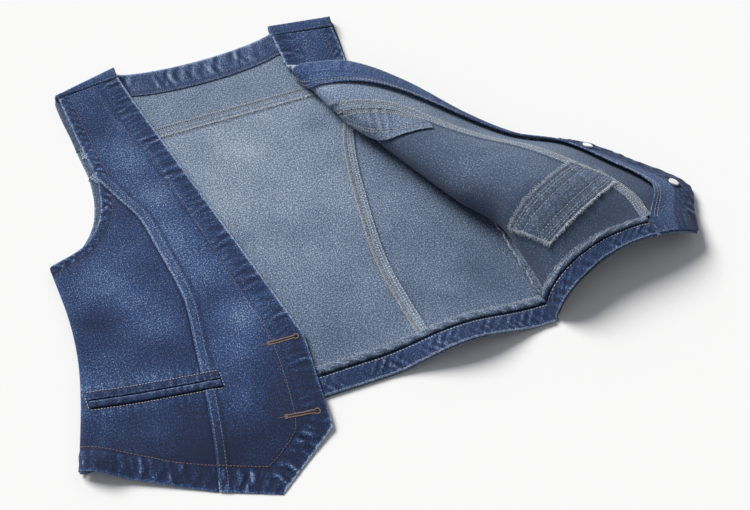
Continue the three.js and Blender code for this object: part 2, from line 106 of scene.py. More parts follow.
# %% Cut lines
DENIM, BAND, CLEAR = 1.4, 1.2, 0.3  # walls of panels and facings, and the air between them
ON_PANEL = DENIM / 2 + CLEAR + BAND / 2
ON_ROLL = ON_PANEL + 0.9  # more air, where the cloth is curved
SHOULDER_NECK, SHOULDER_TIP = [87.5, -13], [155, -22]
EDGE_AT_ARMHOLE, EDGE_BREAK = [53.2, -165], [3, -388]
POINT_TOP, POINT_TIP = [9, -491], [73, -538]
PRINCESS_TOP, UNDERARM = [142, -140], [213, -230]
ARMHOLE_UPPER = [SHOULDER_TIP, [149, -80], PRINCESS_TOP]
ARMHOLE_LOWER = [PRINCESS_TOP, [151, -185], [174, -215], UNDERARM]
PRINCESS = [PRINCESS_TOP, [130, -168], [115, -202], [108, -245], [100, -310],
            [105, -370], [110, -420], [117, -470], [126, -516]]
SIDE = [UNDERARM, [209, -290], [211, -340], [220, -390], [238, -457]]
BACK_PRINCESS_TOP = [150, -130]
BACK_ARMHOLE_UPPER = [[154, YOKE_SEAM], BACK_PRINCESS_TOP]
BACK_ARMHOLE_LOWER = [BACK_PRINCESS_TOP, [153, -165], [163, -195], [183, -218], UNDERARM]
BACK_PRINCESS = [BACK_PRINCESS_TOP, [129, -167], [119, -205], [113, -243], [104, -326],
                 [108, -400], [113, -459]]
BACK_SIDE_LEFT = [UNDERARM, [213, -290], [225, -338], [228.4, -383], [230.4, -419], [233.4, -457]]
NECK_DIP, NECK_HALF, SHOULDER_HALF, SHOULDER_DROP = -12.0, 88.0, 160.0, 10.0
RIGHT_DROP = 19.0  # the right shoulder has slid further down the front
HEM_Y = -458.5


def equal_steps(line, count):
    """The line cut into COUNT equal lengths."""
    length = np.concatenate([[0], np.cumsum(np.linalg.norm(np.diff(line, axis=0), axis=1))])
    at = np.linspace(0, length[-1], count + 1)
    return np.stack([np.interp(at, length, line[:, k]) for k in range(line.shape[1])], 1)


def curve(points, count):
    """A smooth curve through the points, cut into COUNT equal lengths."""
    p = np.array(points, float)
    t = np.linspace(0, len(p) - 1, 60 * (len(p) - 1) + 1)
    i = np.minimum(t.astype(int), len(p) - 2)
    w = (t - i)[:, None]
    a, b = p[np.maximum(i - 1, 0)], p[i]
    c, d = p[i + 1], p[np.minimum(i + 2, len(p) - 1)]
    start, end = (c - a) / 2, (d - b) / 2
    cubic = (2 * b - 2 * c + start + end) * w**3 + (3 * c - 3 * b - 2 * start - end) * w**2
    return equal_steps(cubic + start * w + b, count)


def mirror(points):
    return np.array(points, float) * [-1, 1]


def joined(*lines):
    return np.concatenate([lines[0]] + [line[1:] for line in lines[1:]])


def neckline(x):
    return NECK_DIP * np.maximum(1 - (x / NECK_HALF) ** 2, 0) ** 0.7


def length_of(line):
    return np.linalg.norm(np.diff(line, axis=0), axis=1).sum()


FRONT_EDGE = joined(curve([SHOULDER_NECK, EDGE_BREAK], 200), curve([EDGE_BREAK, POINT_TOP], 54),
                    curve([POINT_TOP, POINT_TIP], 40))
FRONT_HEM = joined(curve([POINT_TIP, PRINCESS[-1]], 30), curve([PRINCESS[-1], SIDE[-1]], 64))
FRONT_ARMHOLE = joined(curve(ARMHOLE_UPPER, 60), curve(ARMHOLE_LOWER, 62))
PRINCESS_LINE, BACK_PRINCESS_LINE = curve(PRINCESS, 200), curve(BACK_PRINCESS, 180)
BACK_ARMHOLE = joined(curve(BACK_ARMHOLE_UPPER, 20), curve(BACK_ARMHOLE_LOWER, 60))
print("front edge", round(length_of(FRONT_EDGE)), "mm, hem", round(length_of(FRONT_HEM)), "mm")

# %% [markdown]
# ## Where the flat pieces lie
# A place is a function from pattern points to the lying cloth, with the direction that looks
# out of it. The back is nearly flat, the yoke goes over the shoulder fold, the right front
# lies over the back, and the left front is a row of sections that roll up and over.

# %% The back, the yoke and the right front
FOLD_RADIUS = 5.0
RIGHT_FRONT = 5.7
SIDE_PUFF, SIDE_PUFF_WIDTH, FRONT_CURL, CURL_WIDTH = 3.3, 35.0, 3.75, 8.0
SHOULDER_PUFF_WIDTH = 38.0
SEAM_FORWARD = 12.0  # the strap seam lies this far in front of the shoulder fold
BACK_CURL_RIGHT, BACK_CURL_LEFT = 3.3, 1.2  # rise of the back's side edges
HEM_CORNER = {"x": -221.0, "y": -432.0, "rise": 6.0, "width": 15.0, "length": 26.0}  # stands off the floor
NEAR = 0.4  # distance of the two points that give a slope
BEYOND_HEM = {"start": -464.0, "length": 55.0, "low": 0.95}
WAVE = {"height": 18.0, "from": 55.0, "to": 222.0, "start": -335.0, "end": -459.0}


def smooth(value):
    t = np.clip(value, 0, 1)
    return t * t * (3 - 2 * t)


def bell(value, width):
    return np.exp(-((value / width) ** 2))


def side_at(line, y):
    """x of a side line at the height y."""
    p = np.array(line, float)
    k = np.clip(np.searchsorted(-p[:, 1], -y), 1, len(p) - 1)
    a, b = p[k - 1], p[k]
    return a[..., 0] + (b[..., 0] - a[..., 0]) * (y - a[..., 1]) / (b[..., 1] - a[..., 1])


def along_shoulder(x):
    """0 on the neck, and from 0 at the neck point to 1 at the shoulder tip."""
    return np.maximum(np.abs(x) - NECK_HALF, 0) / (SHOULDER_HALF - NECK_HALF)


def shoulder_fold(x):
    return -np.where(np.asarray(x) < 0, RIGHT_DROP, SHOULDER_DROP) * along_shoulder(x)


def below_arm(y):
    return smooth((UNDERARM[1] + 25 - y) / 50)


def curl(inside, rise):
    return rise * np.maximum(1 - inside / CURL_WIDTH, 0) ** 3


def back_point(x, y):
    side = np.where(x < 0, side_at(SIDE, y), side_at(BACK_SIDE_LEFT, y))
    turned = below_arm(y) * curl(side - np.abs(x), np.where(x < 0, BACK_CURL_RIGHT, BACK_CURL_LEFT))
    across = np.clip((x - WAVE["from"]) / (WAVE["to"] - WAVE["from"]), 0, 1)
    along = np.maximum((WAVE["start"] - y) / (WAVE["start"] - WAVE["end"]), 0)
    wave = WAVE["height"] * np.sin(np.pi * across) ** 2 * np.minimum(along, 1.1) ** 2
    return np.stack([x, y, DENIM / 2 + turned + wave], -1)


def yoke_point(x, y):
    fold = shoulder_fold(x)
    over = y - fold
    angle = np.clip(over / FOLD_RADIUS, 0, np.pi)
    past = np.maximum(over - np.pi * FOLD_RADIUS, 0)
    laid_y = np.minimum(y, fold) + FOLD_RADIUS * np.sin(angle) - past
    return np.stack([x, laid_y, DENIM / 2 + FOLD_RADIUS * (1 - np.cos(angle))], -1)


def right_point(x, y):
    inside = side_at(SIDE, y) + x
    puff = SIDE_PUFF * bell(inside, SIDE_PUFF_WIDTH) - curl(inside, FRONT_CURL)
    shoulder = (DENIM / 2 + 2 * FOLD_RADIUS - RIGHT_FRONT) / bell(SEAM_FORWARD, SHOULDER_PUFF_WIDTH)
    at_shoulder = shoulder * bell(y - shoulder_fold(x), SHOULDER_PUFF_WIDTH)
    down = (RIGHT_FRONT - BEYOND_HEM["low"]) * smooth((BEYOND_HEM["start"] - y) / BEYOND_HEM["length"])
    corner = bell(x - HEM_CORNER["x"], HEM_CORNER["width"])
    lifted = HEM_CORNER["rise"] * corner * smooth((HEM_CORNER["y"] - y) / HEM_CORNER["length"])
    return np.stack([x, y, RIGHT_FRONT + below_arm(y) * puff + at_shoulder - down + lifted], -1)


def with_normals(point):
    """A place: pattern points to laid points and the directions that look up from them."""
    def place(xy):
        x, y = xy[:, 0], xy[:, 1]
        along_x = point(x + NEAR, y) - point(x - NEAR, y)
        along_y = point(x, y + NEAR) - point(x, y - NEAR)
        normal = np.cross(along_x, along_y)
        return point(x, y), normal / np.linalg.norm(normal, axis=1, keepdims=True)
    return place


back_place, yoke_place, right_place = map(with_normals, (back_point, yoke_point, right_point))

# %% [markdown]
# The left front is thrown open, so its cloth rolls up off the back and lies over, inside up.
# Each row of the table is one section across the roll: where its foot stands, which way it
# heads, how far it reaches, the roll's radius, and the slopes at its ends. The rows are
# blended, and the whole sheet is worked out once on a fine grid that is then looked up.

# %% The left front
CREASE_START = np.array([80.0, -54.0])
CREASE_ANGLE = math.radians(-63.4)
CREASE = np.array([math.cos(CREASE_ANGLE), math.sin(CREASE_ANGLE)])
ACROSS = np.array([CREASE[1], -CREASE[0]])
LEFT_ROWS = np.array([
    # at, footX, footY, footZ, heading, reach, edgeZ, radius, start, rise, fall, tuck, ease, bow, flat
    [-45, 60, -14, 4, 26.6, 0, 6, 4, 180, 90, 90, 0, 0, 0, 1.0],
    [0, 92, -55, 4, 20, -4, 8, 4, 180, 90, 90, 0, 0, 0, 0.9],
    [25, 101, -76, 4, 18, 13, 15, 6, 180, 20, -10, -6, 0.02, 0, 1.0],
    [50, 111, -98, 4, 16, 39, 20, 8, 180, 25, -20, -16, 0.05, 0, 1.1],
    [105, 130, -147, 4, 6, 66, 25, 12, 180, 30, -25, -30, 0.09, 0, 1.0],
    [164, 160, -202, 4, 1, 84, 17, 15, 180, 28, -22, -22, 0.11, 0, 1.0],
    [214, 186, -250, 4, 5, 104, 9, 19, 180, 22, -25, -12, 0.12, 0, 1.0],
    [264, 210, -296, 4, 12, 138, 4, 23, 175, 12, -30, -4, 0.11, 0, 1.0],
    [315, 229, -338, 4, 10, 160, 4, 27, 150, 8, -30, 12, 0.10, 0, 1.0],
    [359, 230, -383, 3.6, 8, 195, 4, 30, 115, 10, -30, 20, 0.08, 4, 1.0],
    [395, 232, -419, 3, 9, 182, 8, 30, 95, 10, -35, 29, 0.06, 10, 1.0],
    [435, 235, -456, 2.4, 11, 167, 15, 32, 85, 8, -40, 39, 0.04, 16, 1.0],
])
STRAP_PUFF = 7.4


def blended(table, at):
    """The table's row at any place along it."""
    k = np.clip(np.searchsorted(table[:, 0], at, side="right") - 1, 0, len(table) - 2)
    a, b = table[np.maximum(k - 1, 0)], table[k]
    c, d = table[k + 1], table[np.minimum(k + 2, len(table) - 1)]
    span = c[:, :1] - b[:, :1]
    t = np.clip((at[:, None] - b[:, :1]) / span, 0, 1)
    slope_b = (c - a) / (c[:, :1] - a[:, :1]) * span
    slope_c = (d - b) / (d[:, :1] - b[:, :1]) * span
    return ((2 * t**3 - 3 * t**2 + 1) * b + (t**3 - 2 * t**2 + t) * slope_b
            + (3 * t**2 - 2 * t**3) * c + (t**3 - t**2) * slope_c)


def to_rows(xy):
    """Distances along the crease and across it."""
    moved = np.asarray(xy, float) - CREASE_START
    return moved @ CREASE, moved @ ACROSS


def from_rows(at, across):
    return CREASE_START + np.outer(at, CREASE) + np.outer(across, ACROSS)


GRID = 2.0  # step of the grid over the left front
GRID_AT = np.arange(-60.0, 446.0, GRID)
GRID_ACROSS = np.arange(-120.0, 276.0, GRID)
edge_at, edge_across = to_rows([SHOULDER_NECK, EDGE_BREAK, POINT_TOP, POINT_TIP])
EDGE_ACROSS = np.interp(GRID_AT, edge_at, edge_across)
EDGE_ACROSS[GRID_AT < edge_at[0]] = edge_across[0] + (GRID_AT[GRID_AT < edge_at[0]] - edge_at[0]) * (
    (edge_across[1] - edge_across[0]) / (edge_at[1] - edge_at[0]))
softened = np.convolve(np.pad(EDGE_ACROSS, 5, mode="edge"), np.hanning(13)[1:-1], mode="valid")
SOFT_EDGE = softened / np.hanning(13)[1:-1].sum()  # corners of the front edge don't crease the roll


def section(foot_z, reach, edge_z, radius, slopes):
    """Distance from the foot, height and length along one section of the roll."""
    first, last, end = np.radians(slopes)
    angle = np.linspace(first, last, 25)
    h = radius * (np.sin(first) - np.sin(angle))
    z = foot_z + radius * (np.cos(angle) - np.cos(first))
    span = math.hypot(reach - h[-1], edge_z - z[-1])
    t = np.linspace(0, 1, 41)[1:]
    pull = np.stack([2 * t**3 - 3 * t**2 + 1, t**3 - 2 * t**2 + t, 3 * t**2 - 2 * t**3, t**3 - t**2], 1)
    over_h = pull @ [h[-1], span * math.cos(last), reach, span * math.cos(end)]
    over_z = pull @ [z[-1], span * math.sin(last), edge_z, span * math.sin(end)]
    h, z = np.concatenate([h, over_h]), np.concatenate([z, over_z])
    along = np.concatenate([[0], np.cumsum(np.hypot(np.diff(h), np.diff(z)))])
    return h, z, along


def strap_puff(x, y):
    return STRAP_PUFF * bell(y - shoulder_fold(x), SHOULDER_PUFF_WIDTH)


def left_row(at, edge):
    """The laid points of one row of the grid."""
    row = blended(LEFT_ROWS, np.array([at]))[0]
    foot_x, foot_y, foot_z, heading, reach, edge_z, radius = row[1:8]
    tuck, ease, bow, flat = row[11:15]
    turn = math.radians(heading)
    h, z, along = section(foot_z, reach, edge_z, radius, row[8:11])
    plain = (GRID_ACROSS - tuck) / (edge - tuck)
    share = np.where(plain < 1, plain + ease * 4 * plain * (1 - plain), plain)
    length = np.clip(share, 0, None) * along[-1]
    past = np.maximum(length - along[-1], 0)
    slope = np.array([h[-1] - h[-2], z[-1] - z[-2]]) / max(along[-1] - along[-2], 1e-9)
    laid_h = np.interp(length, along, h) + past * slope[0]
    laid_z = np.interp(length, along, z) + past * slope[1]
    side = bow * np.sin(np.pi * np.clip(laid_h / max(reach, 1), 0, 1))
    away = np.maximum(tuck - GRID_ACROSS, 0) * flat
    on_back = GRID_ACROSS <= tuck
    out, aside = np.where(on_back, away, laid_h), np.where(on_back, 0, side)
    x = foot_x + math.cos(turn) * out - math.sin(turn) * aside
    y = foot_y + math.sin(turn) * out + math.cos(turn) * aside
    puff = np.where(on_back, strap_puff(x, y), strap_puff(foot_x, foot_y))
    return np.stack([x, y, np.where(on_back, foot_z, laid_z) + puff], -1)


LEFT_POINTS = np.array([left_row(at, edge) for at, edge in zip(GRID_AT, SOFT_EDGE)])
step_at = np.gradient(LEFT_POINTS, axis=0)
step_across = np.gradient(LEFT_POINTS, axis=1)
LEFT_NORMALS = np.cross(step_across, step_at)
LEFT_NORMALS /= np.maximum(np.linalg.norm(LEFT_NORMALS, axis=2, keepdims=True), 1e-9)


def grid_place(xy):
    """Points and directions looked up on the grid."""
    at, across = to_rows(xy)
    i = np.clip((at - GRID_AT[0]) / GRID, 0, len(GRID_AT) - 1.001)
    j = np.clip((across - GRID_ACROSS[0]) / GRID, 0, len(GRID_ACROSS) - 1.001)
    i0, j0 = i.astype(int), j.astype(int)
    u, v = (i - i0)[:, None], (j - j0)[:, None]

    def looked_up(table):
        low = table[i0, j0] * (1 - u) + table[i0 + 1, j0] * u
        high = table[i0, j0 + 1] * (1 - u) + table[i0 + 1, j0 + 1] * u
        return low * (1 - v) + high * v
    normal = looked_up(LEFT_NORMALS)
    return looked_up(LEFT_POINTS), normal / np.linalg.norm(normal, axis=1, keepdims=True)


shoulder_pattern = equal_steps(np.array([SHOULDER_NECK, SHOULDER_TIP], float), 24)
shoulder_gap = shoulder_pattern - grid_place(shoulder_pattern)[0][:, :2]
EASED_OVER = 62.0  # length of strap over which the front turns back to meet the yoke


def left_place(xy):
    """The rolled front, with its strap eased up to the yoke's seam."""
    points, normals = grid_place(xy)
    share = np.clip((xy[:, 0] - SHOULDER_NECK[0]) / (SHOULDER_TIP[0] - SHOULDER_NECK[0]), 0, 1)
    seam_y = SHOULDER_NECK[1] + share * (SHOULDER_TIP[1] - SHOULDER_NECK[1])
    eased = smooth(1 - (seam_y - xy[:, 1]) / EASED_OVER)
    for k in (0, 1):
        points[:, k] += eased * np.interp(share, np.linspace(0, 1, len(shoulder_gap)), shoulder_gap[:, k])
    return points, normals


print("left front grid:", LEFT_POINTS.shape[0], "by", LEFT_POINTS.shape[1], "points")

# %% [markdown]
# ## Helpers for worn cloth
# Worn denim is read from its relief: cloth puckers between two rows of stitches, and the
# ridges fade while the troughs stay dark. So one function gives both the height and the wear
# of a point, from its distance to the nearest seam and the length along it.

# %% Distances and uneven ripples
def from_line(line, xy):
    """Distance from a line, length along it, and its side: positive on the line's left."""
    start, step = line[:-1], np.diff(line, axis=0)
    size = np.maximum((step ** 2).sum(1), 1e-9)
    lengths = np.sqrt(size)
    begun = np.cumsum(lengths) - lengths
    to_point = xy[:, None] - start[None]
    t = np.clip((to_point * step).sum(2) / size, 0, 1)
    away = to_point - t[..., None] * step
    distance = np.linalg.norm(away, axis=2)
    best = distance.argmin(1)
    n = np.arange(len(xy))
    side = np.sign(step[best, 0] * away[n, best, 1] - step[best, 1] * away[n, best, 0])
    return distance[n, best], begun[best] + t[n, best] * lengths[best], side


def line_left(line):
    """Unit directions to the left of a line."""
    step = np.gradient(line, axis=0)
    step /= np.maximum(np.linalg.norm(step, axis=1, keepdims=True), 1e-9)
    return np.stack([-step[:, 1], step[:, 0]], 1)


def beside(line, distance):
    """The line moved to its left; a negative distance moves it to its right."""
    return line + line_left(line) * distance


def ripple(t, seed, shortest, longest):
    """Uneven waves of about unit height, with lengths between the two given ones."""
    draw = np.random.default_rng(seed)
    rate = draw.uniform(1 / longest, 1 / shortest, 14)
    phase = draw.uniform(0, 2 * np.pi, 14)
    waves = sum(np.sin(2 * np.pi * r * t + p) for r, p in zip(rate, phase))
    return np.clip(waves / np.sqrt(7), -1.7, 1.7)


def band(distance, along, width, height, fade, seed, skew=0.3, shortest=7.0, longest=17.0):
    """Puckers between an edge and the stitches WIDTH away, with a light worn line on the edge."""
    share = np.clip(distance / width, 0, 1)
    window = np.where(distance < width, np.sin(np.pi * share) ** 0.6, 0)
    near = ripple(along + skew * distance, seed, shortest, longest)
    far = ripple(along - skew * distance, seed + 50, shortest, longest)
    knots = ripple(along, seed + 51, 3.5, 8) * np.sin(2 * np.pi * share)
    strength = 0.75 + 0.3 * ripple(along, seed + 52, 30, 90)
    waves = (near * (1 - share) + far * share + 0.45 * knots) * strength
    edge = bell(distance - 0.5, 1.4)
    row = bell(distance - width, 1.3)
    return (height * window * waves - 0.3 * row,
            fade * window * (waves - 0.25) + 1.5 * edge - 0.4 * row)


def crease(xy, start, end, width, height):
    """One soft ridge, or a trough where the height is negative."""
    line = equal_steps(np.array([start, end], float), 12)
    distance, along, _ = from_line(line, xy)
    length = length_of(line)
    return height * bell(distance, width) * np.sin(np.pi * np.clip(along / length, 0.04, 0.96))


# %% [markdown]
# ## A piece of cloth
# A cut piece is a grid of pattern points, raised by its relief on the side that shows. The
# Solidify modifier gives it its wall and a small Bevel rounds the cut edge. The pattern itself
# becomes the UV map, in metres, so that every weave runs true to the cut.

# %% Materials from nodes
class Nodes:
    """A material's node tree, with short calls for the nodes that cloth needs."""

    def __init__(self, name, roughness):
        self.material = bpy.data.materials.new(name)
        self.material.use_nodes = True
        self.tree = self.material.node_tree
        self.shader = self.tree.nodes["Principled BSDF"]
        self.shader.inputs["Roughness"].default_value = roughness

    def add(self, kind, **settings):
        node = self.tree.nodes.new(kind)
        for key, value in settings.items():
            setattr(node, key, value)
        return node

    def put(self, socket, value):
        if isinstance(value, bpy.types.NodeSocket):
            self.tree.links.new(value, socket)
        elif value is not None:
            socket.default_value = value

    def maths(self, operation, first, second):
        node = self.add("ShaderNodeMath", operation=operation)
        self.put(node.inputs[0], first)
        self.put(node.inputs[1], second)
        return node.outputs[0]

    def noise(self, vector, scale, stretch=(1, 1, 1), detail=1.0):
        mapping = self.add("ShaderNodeMapping")
        mapping.inputs["Scale"].default_value = stretch
        self.put(mapping.inputs["Vector"], vector)
        node = self.add("ShaderNodeTexNoise")
        node.inputs["Scale"].default_value = scale
        node.inputs["Detail"].default_value = detail
        self.put(node.inputs["Vector"], mapping.outputs[0])
        return self.maths("SUBTRACT", node.outputs["Fac"], 0.5)

    def attribute(self, name):
        return self.add("ShaderNodeAttribute", attribute_name=name).outputs["Fac"]

    def ramp(self, value, stops):
        node = self.add("ShaderNodeValToRGB")
        self.put(node.inputs["Fac"], value)
        elements = node.color_ramp.elements
        while len(elements) < len(stops):
            elements.new(0.5)
        for element, (place, colour) in zip(elements, stops):
            element.position = place
            element.color = (*colour, 1)
        return node.outputs["Color"]

    def bump(self, height, strength, distance):
        node = self.add("ShaderNodeBump")
        node.inputs["Strength"].default_value = strength
        node.inputs["Distance"].default_value = distance
        self.put(node.inputs["Height"], height)
        self.put(self.shader.inputs["Normal"], node.outputs[0])


# %% [markdown]
# Denim is a twill: indigo warp over white weft. Outside the blue warp shows, flecked white
# where it is worn, and inside the pale weft does. Fine noise stretched along the yarns makes
# the flecks and slubs, a slow noise the clouds, and the cloth's wear attribute, which also
# carries painted shade and shadow in places, moves the ramp.

# %% Denim, thread, raw yarn, metal and floor
FLECK_SCALE, SLUB_SCALE, CLOUD_SCALE, TWILL_SCALE = 820, 700, 24, 240  # noise and wave scales on the cut
TWILL_ANGLE = math.radians(62)


def denim(name, stops, fleck, slub, cloud, middle, wear_and_shade_gain):
    n = Nodes(name, 0.88)
    pattern = n.add("ShaderNodeUVMap", uv_map="cut").outputs[0]
    flecks = n.maths("MULTIPLY", n.noise(pattern, FLECK_SCALE, (1, 0.75, 1), 2.0), fleck)
    slubs = n.maths("MULTIPLY", n.noise(pattern, SLUB_SCALE, (1, 0.08, 1)), slub)
    clouds = n.maths("MULTIPLY", n.noise(pattern, CLOUD_SCALE, (1, 1, 1), 3.0), cloud)
    wear_and_shade = n.maths("MULTIPLY", n.attribute("wear_and_shade"), wear_and_shade_gain)
    grain = n.maths("ADD", flecks, slubs)
    value = n.maths("ADD", n.maths("ADD", grain, clouds), n.maths("ADD", wear_and_shade, middle))
    n.put(n.shader.inputs["Base Color"], n.ramp(value, stops))
    n.shader.inputs["Sheen Weight"].default_value = 0.12
    n.shader.inputs["Sheen Roughness"].default_value = 0.5
    n.shader.inputs["Specular IOR Level"].default_value = 0.25
    turned = n.add("ShaderNodeMapping")
    turned.inputs["Rotation"].default_value = (0, 0, TWILL_ANGLE)
    n.put(turned.inputs["Vector"], pattern)
    twill = n.add("ShaderNodeTexWave")
    twill.inputs["Scale"].default_value = TWILL_SCALE
    twill.inputs["Distortion"].default_value = 1.2
    n.put(twill.inputs["Vector"], turned.outputs[0])
    n.bump(n.maths("ADD", n.maths("MULTIPLY", twill.outputs["Fac"], 0.5), grain), 0.5, 0.0004)
    return n.material


OUTSIDE = denim("denim_outside_worn", [
    (0.0, (0.010, 0.017, 0.050)), (0.35, (0.022, 0.052, 0.152)),
    (0.6, (0.062, 0.122, 0.268)), (1.0, (0.34, 0.43, 0.58))], 2.1, 0.35, 0.42, 0.37, 0.34)
INSIDE = denim("denim_inside_pale", [
    (0.0, (0.045, 0.070, 0.125)), (0.35, (0.125, 0.175, 0.265)),
    (0.6, (0.220, 0.285, 0.398)), (1.0, (0.53, 0.60, 0.70))], 2.3, 0.35, 0.25, 0.44, 0.36)
BAND_DENIM = denim("denim_band_dark", [
    (0.0, (0.008, 0.014, 0.042)), (0.35, (0.020, 0.044, 0.125)),
    (0.6, (0.062, 0.108, 0.225)), (1.0, (0.30, 0.39, 0.54))], 1.8, 0.3, 0.4, 0.33, 0.36)


def yarn(name, low, high, roughness=0.8):
    n = Nodes(name, roughness)
    place = n.add("ShaderNodeTexCoord").outputs["Object"]
    fluff = n.noise(place, 2600, (1, 1, 1), 2.0)
    value = n.maths("ADD", n.attribute("tone"), n.maths("MULTIPLY", fluff, 0.5))
    n.put(n.shader.inputs["Base Color"], n.ramp(value, [(0.0, low), (1.0, high)]))
    n.shader.inputs["Sheen Weight"].default_value = 0.2
    n.bump(fluff, 0.4, 0.0002)
    return n.material


PALE_THREAD = yarn("thread_pale", (0.15, 0.19, 0.26), (0.78, 0.79, 0.78))
TAN_THREAD = yarn("thread_tan", (0.17, 0.11, 0.09), (0.42, 0.30, 0.24))
RUST_THREAD = yarn("thread_rust", (0.16, 0.07, 0.06), (0.42, 0.24, 0.19))
SLIT_SHADE = yarn("slit_shade", (0.006, 0.007, 0.012), (0.02, 0.02, 0.03))
RAW_YARN = yarn("raw_yarn", (0.20, 0.27, 0.38), (0.70, 0.74, 0.80), 0.95)


def metal(name, colour):
    n = Nodes(name, 0.32)
    place = n.add("ShaderNodeTexCoord").outputs["Object"]
    marks = n.noise(place, 900, (1, 1, 1), 3.0)
    n.put(n.shader.inputs["Base Color"], n.ramp(n.maths("ADD", marks, 0.5), [
        (0.3, tuple(0.86 * c for c in colour)), (0.7, colour)]))
    n.shader.inputs["Metallic"].default_value = 0.15
    n.bump(marks, 0.15, 0.0002)
    return n.material


BRIGHT_METAL = metal("button_metal_bright", (0.97, 0.97, 0.97))


def floor_paper(name):
    n = Nodes(name, 0.9)
    place = n.add("ShaderNodeTexCoord").outputs["Object"]
    grain = n.noise(place, 700, (1, 1, 1), 2.0)
    n.put(n.shader.inputs["Base Color"], n.ramp(n.maths("ADD", grain, 0.5), [
        (0.0, (0.92, 0.92, 0.93)), (1.0, (0.94, 0.94, 0.94))]))
    return n.material


print("materials:", len(bpy.data.materials))

# %% The floor
bpy.ops.object.select_all(action="DESELECT")
bpy.ops.mesh.primitive_plane_add(size=40, location=(0, 0, 0))
floor = bpy.context.object
floor.name = "white_floor"
floor.data.materials.append(floor_paper("floor_white"))

# %% Cloth from a grid of pattern points
made, sheets, trims = {}, [], {}  # pieces by name, sheets with their size and what they rest on, and what is sewn on each
SHARP = math.radians(62)  # edges that turn more than this are rounded


def new_mesh(name, points, faces, materials):
    """A mesh object from points in the pattern's frame, in millimetres."""
    mesh = bpy.data.meshes.new(name)
    mesh.from_pydata((np.asarray(points) * MM + SHIFT).tolist(), [], faces)
    for material in materials:
        mesh.materials.append(material)
    piece = bpy.data.objects.new(name, mesh)
    bpy.context.scene.collection.objects.link(piece)
    mesh.shade_smooth()
    made[name] = piece
    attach(piece, "root")
    return piece


def point_value(piece, name, values):
    attribute = piece.data.attributes.new(name, "FLOAT", "POINT")
    attribute.data.foreach_set("value", np.asarray(values, np.float32))


def finish_wall(piece, thickness, rounding):
    """Give a sheet its wall behind the side that shows, and round its cut edge."""
    bpy.ops.object.select_all(action="DESELECT")
    bpy.context.view_layer.objects.active = piece
    piece.select_set(True)
    wall = piece.modifiers.new("wall", "SOLIDIFY")
    wall.thickness = thickness * MM
    wall.offset = -1
    wall.material_offset = 1
    bpy.ops.object.modifier_apply(modifier="wall")
    if rounding:
        edge = piece.modifiers.new("edge", "BEVEL")
        edge.width = rounding * MM
        edge.segments = 2
        edge.limit_method = "ANGLE"
        edge.angle_limit = SHARP
        bpy.ops.object.modifier_apply(modifier="edge")
    places = np.zeros(len(piece.data.vertices) * 3, np.float32)
    piece.data.vertices.foreach_get("co", places)
    places[2::3] = np.maximum(places[2::3], 0)  # cloth that rests is flat on the floor
    piece.data.vertices.foreach_set("co", places)


def cut(xy, faces):
    """Width, length and area in metres of a piece as it was cut."""
    used = xy[faces]
    across, along = used[:, 2] - used[:, 0], used[:, 3] - used[:, 1]
    area = np.abs(across[:, 0] * along[:, 1] - across[:, 1] * along[:, 0]).sum() / 2
    size = used.reshape(-1, 2).max(0) - used.reshape(-1, 2).min(0)
    return (size[0] * MM, size[1] * MM), area * MM * MM


def cloth(name, place, side, grid, lift, form, looks, thickness=DENIM, slot="denim_outside",
          node=None, held="laid", rests_on=(), rounding=0.4, kept=None, part_of=None):
    """A cloth piece: SIDE is 1 where the place's normal looks out of the side that shows, else -1."""
    rows, columns = grid.shape[:2]
    xy = grid.reshape(-1, 2)
    height, wear_and_shade = form(xy)
    points, normals = place(xy)
    points = points + side * normals * (lift + height)[:, None]
    number = np.arange(rows * columns).reshape(rows, columns)
    faces = np.stack([number[:-1, :-1], number[1:, :-1], number[1:, 1:], number[:-1, 1:]], -1)
    faces = faces[kept] if kept is not None else faces.reshape(-1, 4)
    used, faces = np.unique(faces, return_inverse=True)
    faces = faces.reshape(-1, 4)
    xy, wear_and_shade, points, normals = xy[used], wear_and_shade[used], points[used], normals[used]
    a, b, d = points[faces[:, 0]], points[faces[:, 1]], points[faces[:, 3]]
    outward = np.cross(b - a, d - a)
    if (outward * side * normals[faces[:, 0]]).sum() < 0:
        faces = faces[:, ::-1]
    piece = new_mesh(name, points, faces.tolist(), looks)
    # the wear attribute holds the cloth's wear together with the painted shade and shadow of some forms
    point_value(piece, "wear_and_shade", wear_and_shade)
    cut_map = piece.data.uv_layers.new(name="cut")
    corners = np.zeros(len(piece.data.loops), np.int32)
    piece.data.loops.foreach_get("vertex_index", corners)
    cut_map.data.foreach_set("uv", (xy[corners] * MM).astype(np.float32).ravel())
    finish_wall(piece, thickness, rounding)
    if node:
        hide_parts(node)
    size, area = cut(xy, faces)
    if part_of:
        trims.setdefault(part_of, []).append(piece)
    else:
        sheets.append((piece, size, held, list(rests_on), min(area, size[0] * size[1])))


def grid_between(a, b, columns, gap=0.15):
    """Pattern points from line A to line B, one row for each pair of their points."""
    length = np.maximum(np.linalg.norm(b - a, axis=1), 1e-6)
    inset = np.minimum(gap / length, 0.1)[:, None, None]
    share = inset + np.linspace(0, 1, columns + 1)[None, :, None] * (1 - 2 * inset)
    return a[:, None] * (1 - share) + b[:, None] * share
